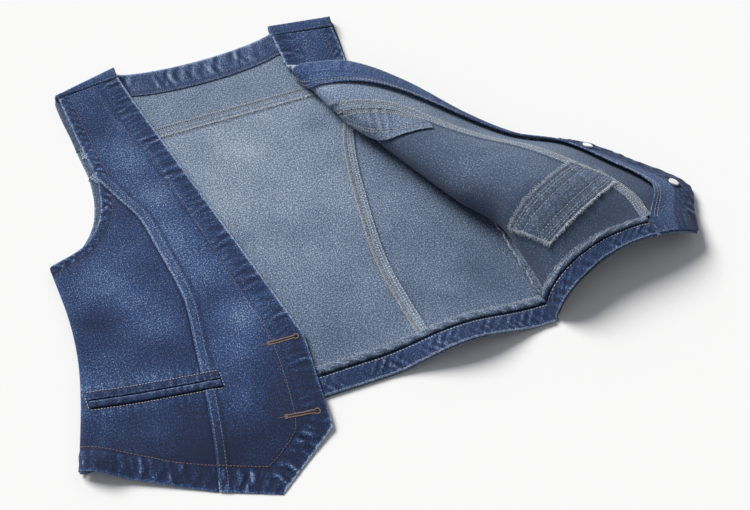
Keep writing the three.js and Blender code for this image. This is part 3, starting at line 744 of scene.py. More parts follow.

# %% [markdown]
# ## The two fronts
# Each front is a centre and a side panel, joined by a curved princess seam with a topstitched
# ribbon of seam allowance on its centre side. The hem, armhole and front edge are puckered
# bands. Both fronts share one form, and the right front reads it through the mirror.

# %% Relief, wear and painted shade of a front
FRONT_BAND, HEM_BAND, ARM_BAND = 24.0, 23.0, 12.0  # puckered from the edge to the stitches
RIBBON = 11.0  # width of the seam's ribbon
RIBBON_STITCHES = (2.4, RIBBON - 2)  # its rows, from the seam
FRONT_PUCKERS = (0.15, 6, 15)  # skew, shortest and longest wave
HEM_PUCKERS, ARM_PUCKERS = (0.35, 8, 18), (0.8, 6, 13)
HEM_LINE = joined(curve([POINT_TOP, POINT_TIP], 24), FRONT_HEM[::3])
SEAM_COARSE, EDGE_COARSE, ARM_COARSE = PRINCESS_LINE[::4], FRONT_EDGE[::4], FRONT_ARMHOLE[::3]
POCKET_INNER, POCKET_OUTER = np.array([92.0, -409.0]), np.array([213.0, -391.0])
WELT, SLIT, STAY = 7.6, 1.2, 44.0
POCKET_UP = SLIT / 2 + WELT
POCKET_FRAME = np.array([POCKET_INNER + [0, POCKET_UP], POCKET_OUTER + [0, POCKET_UP],
                         POCKET_OUTER - [0, POCKET_UP], POCKET_INNER - [0, POCKET_UP],
                         POCKET_INNER + [0, POCKET_UP]])
RIGHT_FADES = [  # x, y, width, wear
    (169, -250, 24, 0.5), (147, -290, 26, 0.45), (126, -330, 20, 0.4), (200, -376, 22, 0.5),
    (152, -386, 20, 0.45), (204, -425, 22, 0.55), (160, -440, 26, 0.45), (102, -120, 20, 0.3),
    (92, -180, 22, 0.45), (84, -240, 24, 0.5), (72, -290, 22, 0.4), (52, -345, 20, 0.5),
    (72, -385, 22, 0.45), (84, -440, 26, 0.5), (182, -310, 18, -0.3), (138, -362, 16, -0.3),
    (206, -335, 18, -0.25), (112, -300, 12, -0.25), (130, -70, 24, -0.3), (120, -480, 20, -0.25)]
RIGHT_CREASES = [  # start, end, width, height
    ((204, -262), (150, -290), 9, 0.9), ((206, -300), (168, -330), 8, -0.8),
    ((200, -350), (150, -352), 8, 0.8), ((98, -190), (80, -262), 10, 0.8),
    ((60, -300), (88, -356), 9, -0.7), ((180, -440), (140, -452), 8, 0.8),
    ((60, -400), (84, -460), 10, 0.8), ((138, -150), (96, -158), 7, 0.7)]
LEFT_FADES = [(100, -120, 20, 0.3), (96, -200, 26, 0.35), (80, -300, 30, 0.3), (170, -300, 30, 0.35)]
LEFT_CREASES = [((110, -60), (96, -90), 6, 0.6), ((150, -300), (110, -330), 9, 0.8),
                ((190, -360), (140, -372), 8, -0.7), ((96, -230), (60, -250), 8, 0.6)]


def front_form(seed, fades, creases, flipped=False):
    """Form of a front's outside, in the pattern of the wearer's left front."""
    def form(xy):
        xy = xy * [-1, 1] if flipped else xy
        edge_d, edge_s, _ = from_line(EDGE_COARSE, xy)
        hem_d, hem_s, _ = from_line(HEM_LINE, xy)
        arm_d, arm_s, _ = from_line(ARM_COARSE, xy)
        seam_d, seam_s, seam_side = from_line(SEAM_COARSE, xy)
        pocket_d, pocket_s, _ = from_line(POCKET_FRAME, xy)
        height, wear_and_shade = np.zeros(len(xy)), np.zeros(len(xy))
        for part in (band(edge_d, edge_s, FRONT_BAND, 0.55, 0.85, seed, *FRONT_PUCKERS),
                     band(hem_d, hem_s, HEM_BAND, 0.9, 1.6, seed + 1, *HEM_PUCKERS),
                     band(arm_d, arm_s, ARM_BAND, 0.45, 0.95, seed + 2, *ARM_PUCKERS)):
            height += part[0]
            wear_and_shade += part[1]
        wear_and_shade -= 0.25 * smooth((20 - edge_d) / 10) * smooth((edge_d - 1.5) / 2)
        wear_and_shade += 0.55 * smooth((HEM_BAND - hem_d) / 3) - 0.2 * (seam_side > 0)
        # darker from the chest down and much darker near the hem: partly the cloth's fade, partly painted
        # shade where the light falls off
        wear_and_shade -= 1.0 * smooth((-350 - xy[:, 1]) / 110) + 0.12 * smooth((-100 - xy[:, 1]) / 150)
        centre = seam_side < 0
        ribbon = smooth(seam_d / 1.2) * (1 - smooth((seam_d - RIBBON + 0.6) / 1.8)) * centre
        rows = sum(bell(seam_d - away, 0.9) for away in RIBBON_STITCHES)
        ribs = np.sin(2 * np.pi * seam_s / 3.1) * 0.5 + 0.5 * ripple(seam_s, seed + 3, 2.6, 7)
        height += ribbon * (0.8 + 0.14 * ribs) - 0.25 * rows * centre
        height -= 0.4 * bell(seam_d, 2.2) * ~centre
        wear_and_shade += ribbon * (0.2 + 0.3 * ribs) + 1.35 * bell(seam_d - 1.2, 0.9) * centre
        # the dark line on the side panel, along the seam, is painted shadow in the seam's groove
        wear_and_shade -= 1.0 * bell(seam_d - 0.4, 1.5) * ~centre + 0.55 * bell(seam_d - RIBBON - 1, 1.4) * centre
        near = bell(pocket_d - 5, 6) * (0.5 + 0.4 * ripple(pocket_s, seed + 4, 7, 16))
        height += 0.2 * near - 0.2 * bell(pocket_d, 1.2)
        wear_and_shade += 0.7 * near - 0.7 * bell(pocket_d, 1.6)
        for x, y, width, value in fades:
            wear_and_shade += 1.25 * value * bell(np.hypot(xy[:, 0] - x, xy[:, 1] - y), width)
        for start, end, width, lift in creases:
            fold = crease(xy, start, end, width, lift)
            height += fold
            wear_and_shade += 0.22 * fold
        # painted shade: the left front is darkened in a band along its roll, where the cloth curls over and
        # shades itself, and more towards the hem; its inside shows the same darkening
        if not flipped:
            at, across = to_rows(xy)
            foot = np.interp(at, LEFT_ROWS[:, 0], LEFT_ROWS[:, 11]) + 14
            roll_shade = smooth((at - 90) / 110) * bell(across - foot, 44)
            wear_and_shade -= 0.95 * roll_shade + 0.38 * smooth((at - 100) / 120)
        return height, np.clip(wear_and_shade, -1.4, 1.3) + 0.5 * bell(edge_d - 0.6, 1.3)
    return form


RIGHT_FORM = front_form(11, RIGHT_FADES, RIGHT_CREASES, flipped=True)
LEFT_FORM = front_form(71, LEFT_FADES, LEFT_CREASES)

# %% Panels of the fronts
STRAP_STEPS, SEAM_STEPS, ARM_STEPS = 66, 170, 48


def centre_lines():
    edge = joined(curve([SHOULDER_NECK, EDGE_AT_ARMHOLE], STRAP_STEPS),
                  curve([EDGE_AT_ARMHOLE, EDGE_BREAK], 89), curve([EDGE_BREAK, POINT_TOP], 49),
                  curve([POINT_TOP, POINT_TIP], 32))
    return edge, joined(curve(ARMHOLE_UPPER, STRAP_STEPS), curve(PRINCESS, SEAM_STEPS))


def side_lines(armhole, seam, side):
    outer = joined(curve(armhole, ARM_STEPS), curve(side, SEAM_STEPS - ARM_STEPS))
    outer[0] = (outer[1] + outer[0]) / 2 + [1.0, -1.0]
    return curve(seam, SEAM_STEPS), outer


CENTRE_GRID = grid_between(*centre_lines(), 56)
SIDE_GRID = grid_between(*side_lines(ARMHOLE_LOWER, PRINCESS, SIDE), 52)
OUT_IN = [OUTSIDE, INSIDE]
cloth("right_front_centre_cloth", right_place, 1, mirror(CENTRE_GRID), DENIM / 2, RIGHT_FORM, OUT_IN,
      node="front_right_centre", rests_on=["back_centre"])
cloth("right_front_side_cloth", right_place, 1, mirror(SIDE_GRID), DENIM / 2, RIGHT_FORM, OUT_IN,
      node="front_right_side", rests_on=["back_side_right"])
cloth("left_front_centre_cloth", left_place, 1, CENTRE_GRID, DENIM / 2, LEFT_FORM, OUT_IN,
      node="front_left_centre", rests_on=["back_centre"], held="folded")
cloth("left_front_side_cloth", left_place, 1, SIDE_GRID, DENIM / 2, LEFT_FORM, OUT_IN,
      node="front_left_side", rests_on=["back_side_left"], held="folded")
print("fronts:", sum(len(p.data.polygons) for p in made.values()), "faces in", len(made), "pieces")

# %% [markdown]
# ## The back and the yoke
# The back lies inside up, so it shows the pale side of the denim, with soft creases where it
# was folded. The yoke runs from its seam over both shoulders to the strap seams, and its
# armhole edges are puckered like those of the fronts.

# %% Back panels
BACK_CREASES = [  # start, end, width, height
    ((128, -388), (156, -412), 5, -1.0), ((134, -380), (163, -404), 5, 1.0),
    ((-40, -130), (-30, -250), 14, 0.7), ((20, -220), (34, -360), 12, -0.6),
    ((80, -130), (104, -160), 8, -0.7), ((-10, -250), (24, -400), 16, 0.7),
    ((60, -300), (90, -384), 12, 0.7), ((150, -240), (190, -330), 12, 0.7),
    ((-60, -300), (-20, -420), 14, -0.6), ((170, -360), (196, -420), 9, -0.8)]
BACK_FADES = [  # x, y, width, wear
    (-16, -80, 30, 0.25), (8, -148, 26, 0.3), (-21, -208, 24, 0.25), (27, -225, 24, 0.25),
    (22, -303, 26, 0.25), (84, -247, 22, 0.2), (-36, -140, 16, -0.25), (-30, -259, 18, -0.25),
    (92, -143, 16, -0.3), (19, -401, 22, -0.3), (107, -386, 20, -0.3), (189, -366, 24, -0.35)]
ROLL_FOOT = LEFT_ROWS[3:10, 1:3]  # where the left front's roll begins on the back


def back_form(xy):
    height, wear_and_shade = np.zeros(len(xy)), np.zeros(len(xy))
    for start, end, width, lift in BACK_CREASES:
        fold = crease(xy, start, end, width, lift)
        height += fold
        wear_and_shade += 0.16 * fold
    for x, y, width, value in BACK_FADES:
        wear_and_shade += value * bell(np.hypot(xy[:, 0] - x, xy[:, 1] - y), width)
    for sign in (-1, 1):
        seam_d = from_line(BACK_PRINCESS_LINE[::5] * [sign, 1], xy)[0]
        height -= 0.3 * bell(seam_d, 1.6)
        wear_and_shade -= 0.5 * bell(seam_d, 2.0)
        arm_d, arm_s, _ = from_line(BACK_ARMHOLE[::4] * [sign, 1], xy)
        worn = band(arm_d, arm_s, ARM_BAND, 0.3, 0.5, 43, *ARM_PUCKERS)[1]
        wear_and_shade += 0.7 * worn - 1.1 * (1 - smooth((arm_d - ARM_BAND) / 2))
    # painted shadow of the rolled left front, cast on the back beside the roll's foot
    foot_d, foot_s, _ = from_line(ROLL_FOOT, xy)
    wear_and_shade -= 0.8 * bell(foot_d, 31) * bell(foot_s - 150, 95)
    yoke_gap = np.abs(xy[:, 1] - YOKE_SEAM)
    height += 0.25 * bell(yoke_gap - 9, 5) * ripple(xy[:, 0], 31, 8, 22)
    height = np.maximum(height, -0.9)
    # lighter overall, darker towards the hem and towards the rolled left front: partly the cloth's tone,
    # partly painted shade where the light falls off
    wear_and_shade += 0.3 - 0.6 * smooth((-120 - xy[:, 1]) / 280) - 0.25 * smooth((xy[:, 0] - 60) / 130)
    return height, wear_and_shade - 0.3 * bell(yoke_gap, 2.5)


back_edge = joined(curve(BACK_ARMHOLE_UPPER, 16), curve(BACK_PRINCESS, 150))
back_edge[:, 1] = np.minimum(back_edge[:, 1], YOKE_SEAM - 0.15)
IN_OUT = [INSIDE, OUTSIDE]
cloth("back_centre_cloth", back_place, 1, grid_between(mirror(back_edge), back_edge, 100), DENIM / 2,
      back_form, IN_OUT, slot="denim_inside", node="back_centre")
BACK_STEPS, BACK_ARM_STEPS = 150, 44
for which, sign, side in (("left", 1, BACK_SIDE_LEFT), ("right", -1, SIDE)):
    outer = joined(curve(BACK_ARMHOLE_LOWER, BACK_ARM_STEPS), curve(side, BACK_STEPS - BACK_ARM_STEPS))
    outer[0] = (outer[0] + outer[1]) / 2 + [1.0, -1.0]
    grid = grid_between(curve(BACK_PRINCESS, BACK_STEPS), outer, 50) * [sign, 1]
    cloth(f"back_side_{which}_cloth", back_place, 1, grid, DENIM / 2, back_form, IN_OUT,
          slot="denim_inside", node=f"back_side_{which}")

# %% Yoke
YOKE_HALF_FOOT, TIP_IN = 154.0, 5.0  # half of its width at the foot, and the strap's taper
YOKE_ROWS, TURNED_ROWS = 45, 22  # rows of cells up to the shoulder fold, and past it


def over_shoulder(x):
    """Length of the yoke past the shoulder fold, to the strap seam."""
    slid = (RIGHT_DROP - SHOULDER_DROP) * along_shoulder(x) * (np.asarray(x) < 0)
    return math.pi * FOLD_RADIUS + SEAM_FORWARD - 0.3 - slid


def yoke_form(xy):
    """Form of the yoke's inside, which turns outside past the fold."""
    x, y = np.abs(xy[:, 0]), xy[:, 1]
    past = y - shoulder_fold(xy[:, 0])
    edge = np.maximum(SHOULDER_HALF - x, 0)
    height, wear_and_shade = band(edge, y, ARM_BAND, 0.35, 0.6, 41, *ARM_PUCKERS)
    seam_gap = over_shoulder(xy[:, 0]) - past
    wear_and_shade += 0.6 * bell(seam_gap - 0.8, 1.0) - 0.4 * bell(seam_gap - 4, 1.6)
    height += 0.2 * bell(y - YOKE_SEAM - 9, 5) * ripple(xy[:, 0], 32, 8, 22)
    inner = smooth((4 - past) / 4)
    wear_and_shade = wear_and_shade * (1 - 0.3 * inner) - 0.3 * bell(y - YOKE_SEAM, 2.5)
    wear_and_shade -= 1.1 * inner * (1 - smooth((edge - ARM_BAND) / 2))
    neck = x - NECK_HALF
    wear_and_shade += 0.6 * bell(neck, 1.2) * (past > 0)
    return np.where(inner > 0.5, height * 0.5, -height), wear_and_shade


def yoke_column(x):
    """Pattern points up one line of the yoke, from its seam and on over the shoulder."""
    size = abs(x)
    top = neckline(size) if size < NECK_HALF else float(shoulder_fold(x))
    foot, low, end = min(size, YOKE_HALF_FOOT), YOKE_FOOT, top + float(over_shoulder(x))
    turned = np.linspace(top, end, TURNED_ROWS + 1)[1:]
    heights = np.concatenate([np.linspace(low, top, YOKE_ROWS + 1), turned])
    across = foot + (size - foot) * smooth((heights - low) / (top - low))
    across -= TIP_IN * along_shoulder(x) * np.clip((heights - top) / (end - top), 0, 1)
    return np.stack([np.sign(x) * across, heights], 1)


strap_xs, neck_xs = np.linspace(SHOULDER_HALF, NECK_HALF, 35), np.linspace(NECK_HALF, -NECK_HALF, 81)
yoke_xs = np.concatenate([strap_xs, neck_xs[1:-1], -strap_xs[::-1]])
yoke_grid = np.array([yoke_column(x) for x in yoke_xs])
on_strap = np.minimum(np.abs(yoke_xs[1:]), np.abs(yoke_xs[:-1])) >= NECK_HALF - 0.01
yoke_cells = np.broadcast_to(on_strap[:, None], (len(on_strap), yoke_grid.shape[1] - 1)).copy()
yoke_cells[:, :YOKE_ROWS] = True
cloth("back_yoke_cloth", yoke_place, 1, yoke_grid, DENIM / 2, yoke_form, IN_OUT, slot="denim_inside",
      node="back_yoke", held="folded", rests_on=["back_centre_cloth"], kept=yoke_cells, rounding=0)
print("back and yoke done,", len(made), "pieces")

# %% [markdown]
# ## Facings, welts and the pocket stay
# A facing is a second layer on the inside of an edge. Its outer side shows, darker than the
# panels because it was hidden in wear, and puckered between its edge and its stitches. Each
# one is a strip of the same pattern, laid one layer higher than its panel.

# %% A strip of facing
def strip(name, place, side, a, b, columns, lift, form, looks, gap=0.05, **more):
    cloth(name, place, side, grid_between(a, b, columns, gap), lift, form, looks,
          thickness=BAND, rounding=0.3, **more)


BAND_UP, ROLL_UP = ON_PANEL + BAND / 2, ON_ROLL + BAND / 2  # tops of the bands above the panel's middle
DARK = [BAND_DENIM, INSIDE]

# %% Neck facing and the hem facing of the back
neck_x = np.linspace(-86, 100, 95)  # it goes on a little under the left strap
neck_edge = np.minimum(neckline(neck_x), shoulder_fold(neck_x) - (neck_x > NECK_HALF))
neck_top = np.stack([neck_x, neck_edge - 0.5], 1)
neck_low = neck_top * [0.98, 1] - [0, 33]
NECK_BAND = 28.0


def neck_form(xy):
    distance, along, _ = from_line(neck_top, xy)
    lift, wear_and_shade = band(distance, along, NECK_BAND, 0.4, 0.85, 51, shortest=8, longest=20)
    low_d = from_line(neck_low, xy)[0]
    wear_and_shade += 0.55 + 0.4 * bell(low_d, 1.0) - 0.3 * bell(low_d - 3, 1.6)
    return lift - 0.25 * bell(low_d - 3, 1.1), wear_and_shade


strip("neck_facing_cloth", yoke_place, 1, neck_top, neck_low, 18, BAND_UP, neck_form, DARK,
      node="back_neck_facing", slot="denim_band", rests_on=["back_yoke_cloth"])

HEM_DEPTH, HEM_ROW, RAW_FROM = 30.0, 20.0, 22.5  # raw edge, row of stitches and start of the curl
hem_x = np.linspace(-226, 229.5, 224)
hem_edge = np.stack([hem_x, np.full_like(hem_x, HEM_Y)], 1)
hem_raw = hem_edge + [0, HEM_DEPTH]
LEFT_HEM = curve([[126, -515.4], [150, -502], [180, -484.4], [210, -470], [236.5, -458.5]], 60)
LEFT_HEM_RAW = curve([[118, -487], [140, -474], [170, -454], [200, -440], [231, -430.5]], 60)


def hem_facing_form(line, seed, skew):
    def form(xy):
        distance, along, _ = from_line(line, xy)
        lift, wear_and_shade = band(distance, along, HEM_ROW, 0.75, 0.75, seed, skew, longest=14)
        # the dark line just above the row of stitches is painted shadow under the curled raw edge
        wear_and_shade += 0.75 * bell(distance - HEM_ROW, 0.9) - 1.3 * bell(distance - HEM_ROW - 2.6, 1.6)
        return lift - 0.4 * bell(distance - HEM_ROW - 2, 1.4), wear_and_shade - 0.05
    return form


BACK_HEM_FORM, LEFT_HEM_FORM = hem_facing_form(hem_edge, 53, 0.7), hem_facing_form(LEFT_HEM, 57, -0.7)
strip("back_hem_facing_cloth", back_place, 1, hem_edge, hem_raw, 20, ROLL_UP, BACK_HEM_FORM, DARK,
      node="back_hem_facing", slot="denim_band", rests_on=["back_centre_cloth"])
strip("left_hem_facing_cloth", left_place, -1, LEFT_HEM, LEFT_HEM_RAW, 20, ROLL_UP, LEFT_HEM_FORM, DARK,
      node="front_left_hem_facing", slot="denim_band", rests_on=["left_front_side_cloth"])

# %% [markdown]
# The raw top of each hem facing has frayed and curled into a soft grey rope. It is a narrow
# strip whose height follows half a circle across, uneven along its length, and the loose
# yarns are added with the other fray.

# %% Curled raw edges
def rope_form(line, width, height, seed):
    def form(xy):
        distance, along, _ = from_line(line, xy)
        share = np.clip(distance / width, 0, 1)
        uneven = 1 + 0.22 * ripple(along, seed, 9, 34) + 0.1 * ripple(along, seed + 1, 2.5, 6)
        round_top = np.sqrt(np.clip(1 - (2 * share - 1) ** 2, 0, 1))
        wear_and_shade = 0.75 * ripple(along + 2 * distance, seed + 2, 1.8, 5) + 0.3 * round_top - 0.95
        return height * round_top * uneven, wear_and_shade
    return form


RAW_LOOK = [INSIDE, INSIDE]
ROPE_WIDTH, ROPE_HEIGHT = 7.5, 2.3
hem_shown = hem_edge[hem_edge[:, 0] > -4]  # the right front covers the rest
for name, low, high, place, side, seed in (
        ("back_hem", beside(hem_shown, RAW_FROM), beside(hem_shown, HEM_DEPTH + 0.4), back_place, 1, 61),
        ("left_hem", LEFT_HEM * 0.25 + LEFT_HEM_RAW * 0.75, LEFT_HEM_RAW, left_place, -1, 65)):
    strip(f"{name}_raw_rope", place, side, low, high, 8, ROLL_UP + 0.4,
          rope_form(low, ROPE_WIDTH, ROPE_HEIGHT, seed), RAW_LOOK, slot="denim_inside",
          part_of=f"{name}_facing_cloth")

# %% Facing of the left front's edge
FACING_WIDTHS = np.array([  # at, width
    [18, 16], [50, 50], [105, 48], [164, 34], [214, 38], [264, 52], [315, 64], [359, 71], [404, 72]], float)


def edge_over(at):
    return np.interp(at, GRID_AT, EDGE_ACROSS)


facing_at = np.linspace(18, 404, 190)
facing_width = blended(FACING_WIDTHS, facing_at)[:, 1]
FACING_OUT = from_rows(0, 0) + np.outer(facing_at, CREASE) + np.outer(edge_over(facing_at) - 0.6, ACROSS)
FACING_IN = FACING_OUT - np.outer(facing_width - 0.6, ACROSS)
FACING_OUT = np.concatenate([FACING_OUT, [[POINT_TIP[0] + 1, POINT_TIP[1] + 1.4]]])
FACING_IN = np.concatenate([FACING_IN, [[122, -516.5]]])


def edge_facing_form(xy):
    distance, along, _ = from_line(EDGE_COARSE, xy)
    inner = from_line(FACING_IN[::4], xy)[0]
    near_tip = smooth((along - 300) / 60)
    lift, wear_and_shade = band(distance, along, FRONT_BAND, 0.3 + 0.35 * near_tip, 0.25 + 0.5 * near_tip, 67,
                      skew=0.2, shortest=8, longest=18)
    loose = 3.6 * np.clip(1 - inner / 18, 0, 1) ** 2 * smooth((along - 90) / 60)
    wear_and_shade += 0.5 * bell(inner - 0.5, 0.9) - 0.3 * bell(inner - 3.4, 1.1) - 0.3 * bell(inner - 6.6, 1.0)
    outer_zone = smooth((33 - distance) / 3)
    crinkle = 0.5 * ripple(along + 0.8 * distance, 68, 9, 20)
    crinkle += 0.4 * ripple(distance * 1.3 - along * 0.5, 70, 8, 18)
    wear_and_shade += near_tip * (outer_zone * (0.55 * crinkle - 0.45) + (1 - outer_zone) * 0.25)
    wear_and_shade -= 0.7 * near_tip * bell(distance - 32, 1.5)
    return lift + loose + near_tip * 0.5 * outer_zone * crinkle, wear_and_shade + 0.12 * (1 - near_tip)


strip("left_front_facing_cloth", left_place, -1, FACING_OUT, FACING_IN, 30, ROLL_UP, edge_facing_form,
      OUT_IN, node="front_left_facing", rests_on=["left_front_centre_cloth"], held="folded")

# %% Facing below the left armhole
LENS_SEAM = curve([[141, -146], [132, -168], [118, -200], [111, -236]], 60)
LENS_ARM = curve([[146, -150], [153, -184], [148, -215], [118, -243]], 60)


def lens_form(xy):
    seam_s, arm_d = from_line(LENS_SEAM, xy)[1], from_line(LENS_ARM, xy)[0]
    lift = 0.5 * ripple(seam_s + 0.5 * arm_d, 69, 9, 26) * np.clip(arm_d / 8, 0, 1)
    wear_and_shade = 0.3 * lift - 0.3 * bell(arm_d - 9, 1.4) + 0.45 * bell(arm_d - 0.6, 1) - 0.12
    return lift - 0.3 * bell(arm_d - 9, 1.2), wear_and_shade


strip("left_armhole_facing_cloth", left_place, -1, LENS_SEAM, LENS_ARM, 26, ROLL_UP, lens_form, IN_OUT,
      node="front_left_armhole_facing", slot="denim_inside", rests_on=["left_front_side_cloth"])

# %% Pocket welts and stay
def pocket_spot(share, up):
    """A point at a SHARE of the pocket's length, UP millimetres above its middle line."""
    share = np.asarray(share, float)[:, None]
    return POCKET_INNER + (POCKET_OUTER - POCKET_INNER) * share + [0, up]


def welt_form(low_line, seed, flip_x):
    def form(xy):
        xy = xy * [-1, 1] if flip_x else xy
        distance, along, _ = from_line(low_line, xy)
        share = np.clip(distance / WELT, 0, 1)
        puff = np.sin(np.pi * share) ** 0.7
        lines = 0.3 * ripple(along, seed, 6, 16)
        wear_and_shade = 1.4 * puff * lines - 0.25 + 1.1 * bell(distance - 0.9, 0.8)
        wear_and_shade -= 0.5 * bell(distance - WELT, 1.2)
        ends = np.minimum(along, length_of(low_line) - along)
        return 0.9 * puff * (1 + lines) * np.clip(ends / 3, 0.2, 1), wear_and_shade
    return form


for which, low, slit, seed in (("upper", SLIT / 2, SLIT / 2, 76),
                               ("lower", -SLIT / 2 - WELT, -SLIT / 2, 75)):
    for front, place, sign, lift, reach in (("right", right_place, -1, BAND_UP, 1.0),
                                            ("left", left_place, 1, ROLL_UP, 0.9)):
        share = np.linspace(0, reach, 62)
        form = welt_form(pocket_spot(share, slit), seed, front == "right")
        strip(f"{front}_pocket_welt_{which}_cloth", place, 1, pocket_spot(share, low) * [sign, 1],
              pocket_spot(share, low + WELT) * [sign, 1], 9, lift, form, DARK, gap=0,
              node=f"pocket_{front}_welt_{which}", slot="denim_band", part_of=f"{front}_front_side_cloth")

stay_share = np.linspace(0.08, 0.86, 70)
STAY_TOP, STAY_LOW = pocket_spot(stay_share, STAY / 2), pocket_spot(stay_share, -STAY / 2)


def stay_form(xy):
    pocket = POCKET_OUTER - POCKET_INNER
    share = ((xy - POCKET_INNER) @ pocket) / (pocket ** 2).sum()
    up = xy[:, 1] - (POCKET_INNER + np.outer(share, pocket))[:, 1]
    edge = STAY / 2 - np.abs(up)
    along = share * length_of(POCKET_FRAME[:2])
    middle = bell(np.abs(up) - POCKET_UP, 1.3)
    lift = 0.55 * ripple(along + 0.4 * up, 79, 8, 22) - 0.5 * middle + 0.5 * bell(up, 7)
    wear_and_shade = 0.25 * lift - 0.75 - 0.45 * middle + 0.4 * bell(edge - 1, 1.5)
    return lift, wear_and_shade - 0.3 * bell(edge - 4, 1.0) - 0.5 * bell(up, 0.9)


strip("left_pocket_stay_cloth", left_place, -1, STAY_LOW, STAY_TOP, 30, ROLL_UP, stay_form, IN_OUT, gap=0,
      node="pocket_left_stay", slot="denim_inside", rests_on=["left_front_side_cloth"])
print("facings and pockets done,", len(made), "pieces")

# %% [markdown]
# ## Seam allowances on the inside
# Inside the garment every seam shows its allowance, a strip of cloth pressed to one side and
# bound by overlocking. Each is a thin raised ribbon with ribs, where the thread pulls it.

# %% Allowance strips
ALLOWANCE, SKIN = 11.5, DENIM / 2 + 0.55


def allowance(name, place, side, line, away, seed, part_of, height=0.0):
    """A strip from a seam line to AWAY millimetres on its left."""
    def form(xy):
        distance, along, _ = from_line(line, xy)
        share = np.clip(distance / abs(away), 0, 1)
        ribs = 0.5 * np.sin(2 * np.pi * along / 2.9) + 0.5 * ripple(along, seed, 3, 9)
        round_top = np.clip(4 * share * (1 - share), 0, 1) ** 0.35
        wear_and_shade = 0.22 * ribs * round_top + 0.1 - 0.6 * bell(distance - 0.3, 0.9)
        wear_and_shade -= 0.3 * bell(distance - 4.2, 0.8)
        return round_top * (0.45 + 0.15 * ribs) + height * round_top, wear_and_shade
    grid = grid_between(line, beside(line, away), 9, gap=0)
    cloth(name, place, side, grid, SKIN, form, RAW_LOOK, thickness=0.5, slot="denim_inside",
          rounding=0.15, part_of=part_of)


BACK_SEAM = curve(BACK_PRINCESS, 240)
back_seam_shown = BACK_SEAM[BACK_SEAM[:, 1] > HEM_Y + HEM_DEPTH - 3]
LEFT_SEAM = curve(PRINCESS, 240)
left_seam_shown = LEFT_SEAM[(LEFT_SEAM[:, 1] > -486) & (LEFT_SEAM[:, 1] < -146)]
YOKE_LINE = equal_steps(np.array([[-150.0, YOKE_SEAM - 1.5], [150.0, YOKE_SEAM - 1.5]]), 150)
for which, sign, seed in (("left", 1, 81), ("right", -1, 82)):
    allowance(f"back_princess_{which}_allowance", back_place, 1, back_seam_shown * [sign, 1],
              -sign * ALLOWANCE, seed, "back_centre_cloth")
allowance("yoke_allowance", back_place, 1, YOKE_LINE, -9.5, 83, "back_centre_cloth")
allowance("left_princess_allowance", left_place, -1, left_seam_shown, -ALLOWANCE, 84,
          "left_front_centre_cloth", height=0.2)
print("allowances done,", len(made), "pieces")

# %% [markdown]
# The left side seam joins the back to the rolled front. Its two raw allowances stand up as a
# frayed ridge, and below them the joined cloth turns over. A ruled strip from one edge to the
# other, bulged upwards, makes both, and it closes the gap between the two layers.

# %% Left side seam
SIDE_ROWS, HEM_FROM, SEAM_ACROSS = 130, 114, 20
ROW_LENGTH = 1.8  # millimetres of seam in a row
RIDGE, CREST = 8.0, 0.42  # height of the ridge, and its place as a share of the way across
seam_back = back_place(curve(BACK_SIDE_LEFT, SIDE_ROWS) - [1.5, 0])
seam_front = left_place(curve(SIDE, SIDE_ROWS) - [1.5, 0])
SEAM_BACK = seam_back[0] + seam_back[1] * 0.9
SEAM_FRONT = seam_front[0] - seam_front[1] * 0.9


def side_seam_point(along, across):
    """Along the seam in rows, and across from the back's edge at 0 to the front's at SEAM_ACROSS."""
    row = np.clip(along, 0, SIDE_ROWS - 0.001)
    low = row.astype(int)
    part = (row - low)[..., None]
    back = SEAM_BACK[low] * (1 - part) + SEAM_BACK[low + 1] * part
    front = SEAM_FRONT[low] * (1 - part) + SEAM_FRONT[low + 1] * part
    share = (np.asarray(across) / SEAM_ACROSS)[..., None]
    uneven = 1 + 0.18 * ripple(row * ROW_LENGTH, 91, 12, 40)[..., None]
    ends = np.clip(row / 12, 0.1, 1) * np.clip((HEM_FROM + 3 - row) / 6, 0.0, 1)
    peak = bell(share - CREST, 0.2) * uneven * ends[..., None]
    lean = np.array([-0.75, -0.1, 0.75])
    return back * (1 - share) + front * share + RIDGE * peak * lean


def seam_form(xy):
    along, across = xy[:, 0], xy[:, 1]
    wear_and_shade = 0.35 * ripple(along * ROW_LENGTH + across, 93, 2, 6)
    wear_and_shade += 0.5 * bell(across - CREST * SEAM_ACROSS, 1.2) - 0.45 * bell(across - 15, 4)
    return 0.2 * ripple(along * ROW_LENGTH, 94, 3, 9), wear_and_shade


def rectangle(along, across):
    return np.stack(np.meshgrid(along, across, indexing="ij"), -1)


seam_place = with_normals(side_seam_point)
seam_grid = rectangle(np.linspace(0.5, SIDE_ROWS - 0.5, 200), np.linspace(0, SEAM_ACROSS, 25))
seam_up = np.sign(seam_place(seam_grid.reshape(-1, 2))[1][:, 2].mean())
cloth("left_side_seam_allowance", seam_place, seam_up, seam_grid, 0.1, seam_form, RAW_LOOK, thickness=0.8,
      slot="denim_inside", rounding=0, part_of="back_side_left_cloth")


def join_form(xy):
    along, across = (xy[:, 0] - HEM_FROM) * 1.85, xy[:, 1]
    from_hem = np.clip(HEM_DEPTH - along, 0, HEM_DEPTH)
    lift, wear_and_shade = band(from_hem, across, HEM_ROW, 0.4, 0.6, 95, skew=0.6, longest=14)
    return lift + 1.1 * np.sin(np.pi * across / SEAM_ACROSS), wear_and_shade - 0.3 * bell(across - 10, 2)


join_grid = rectangle(np.linspace(HEM_FROM, SIDE_ROWS - 0.2, 40), np.linspace(-2.5, SEAM_ACROSS + 2.5, 25))
cloth("hem_facing_join", seam_place, seam_up, join_grid, 1.6, join_form, DARK, thickness=1.0,
      slot="denim_band", rounding=0.3, part_of="back_hem_facing_cloth")
print("side seam: gap up to", round(float(np.linalg.norm(SEAM_BACK - SEAM_FRONT, axis=1).max()), 1), "mm")

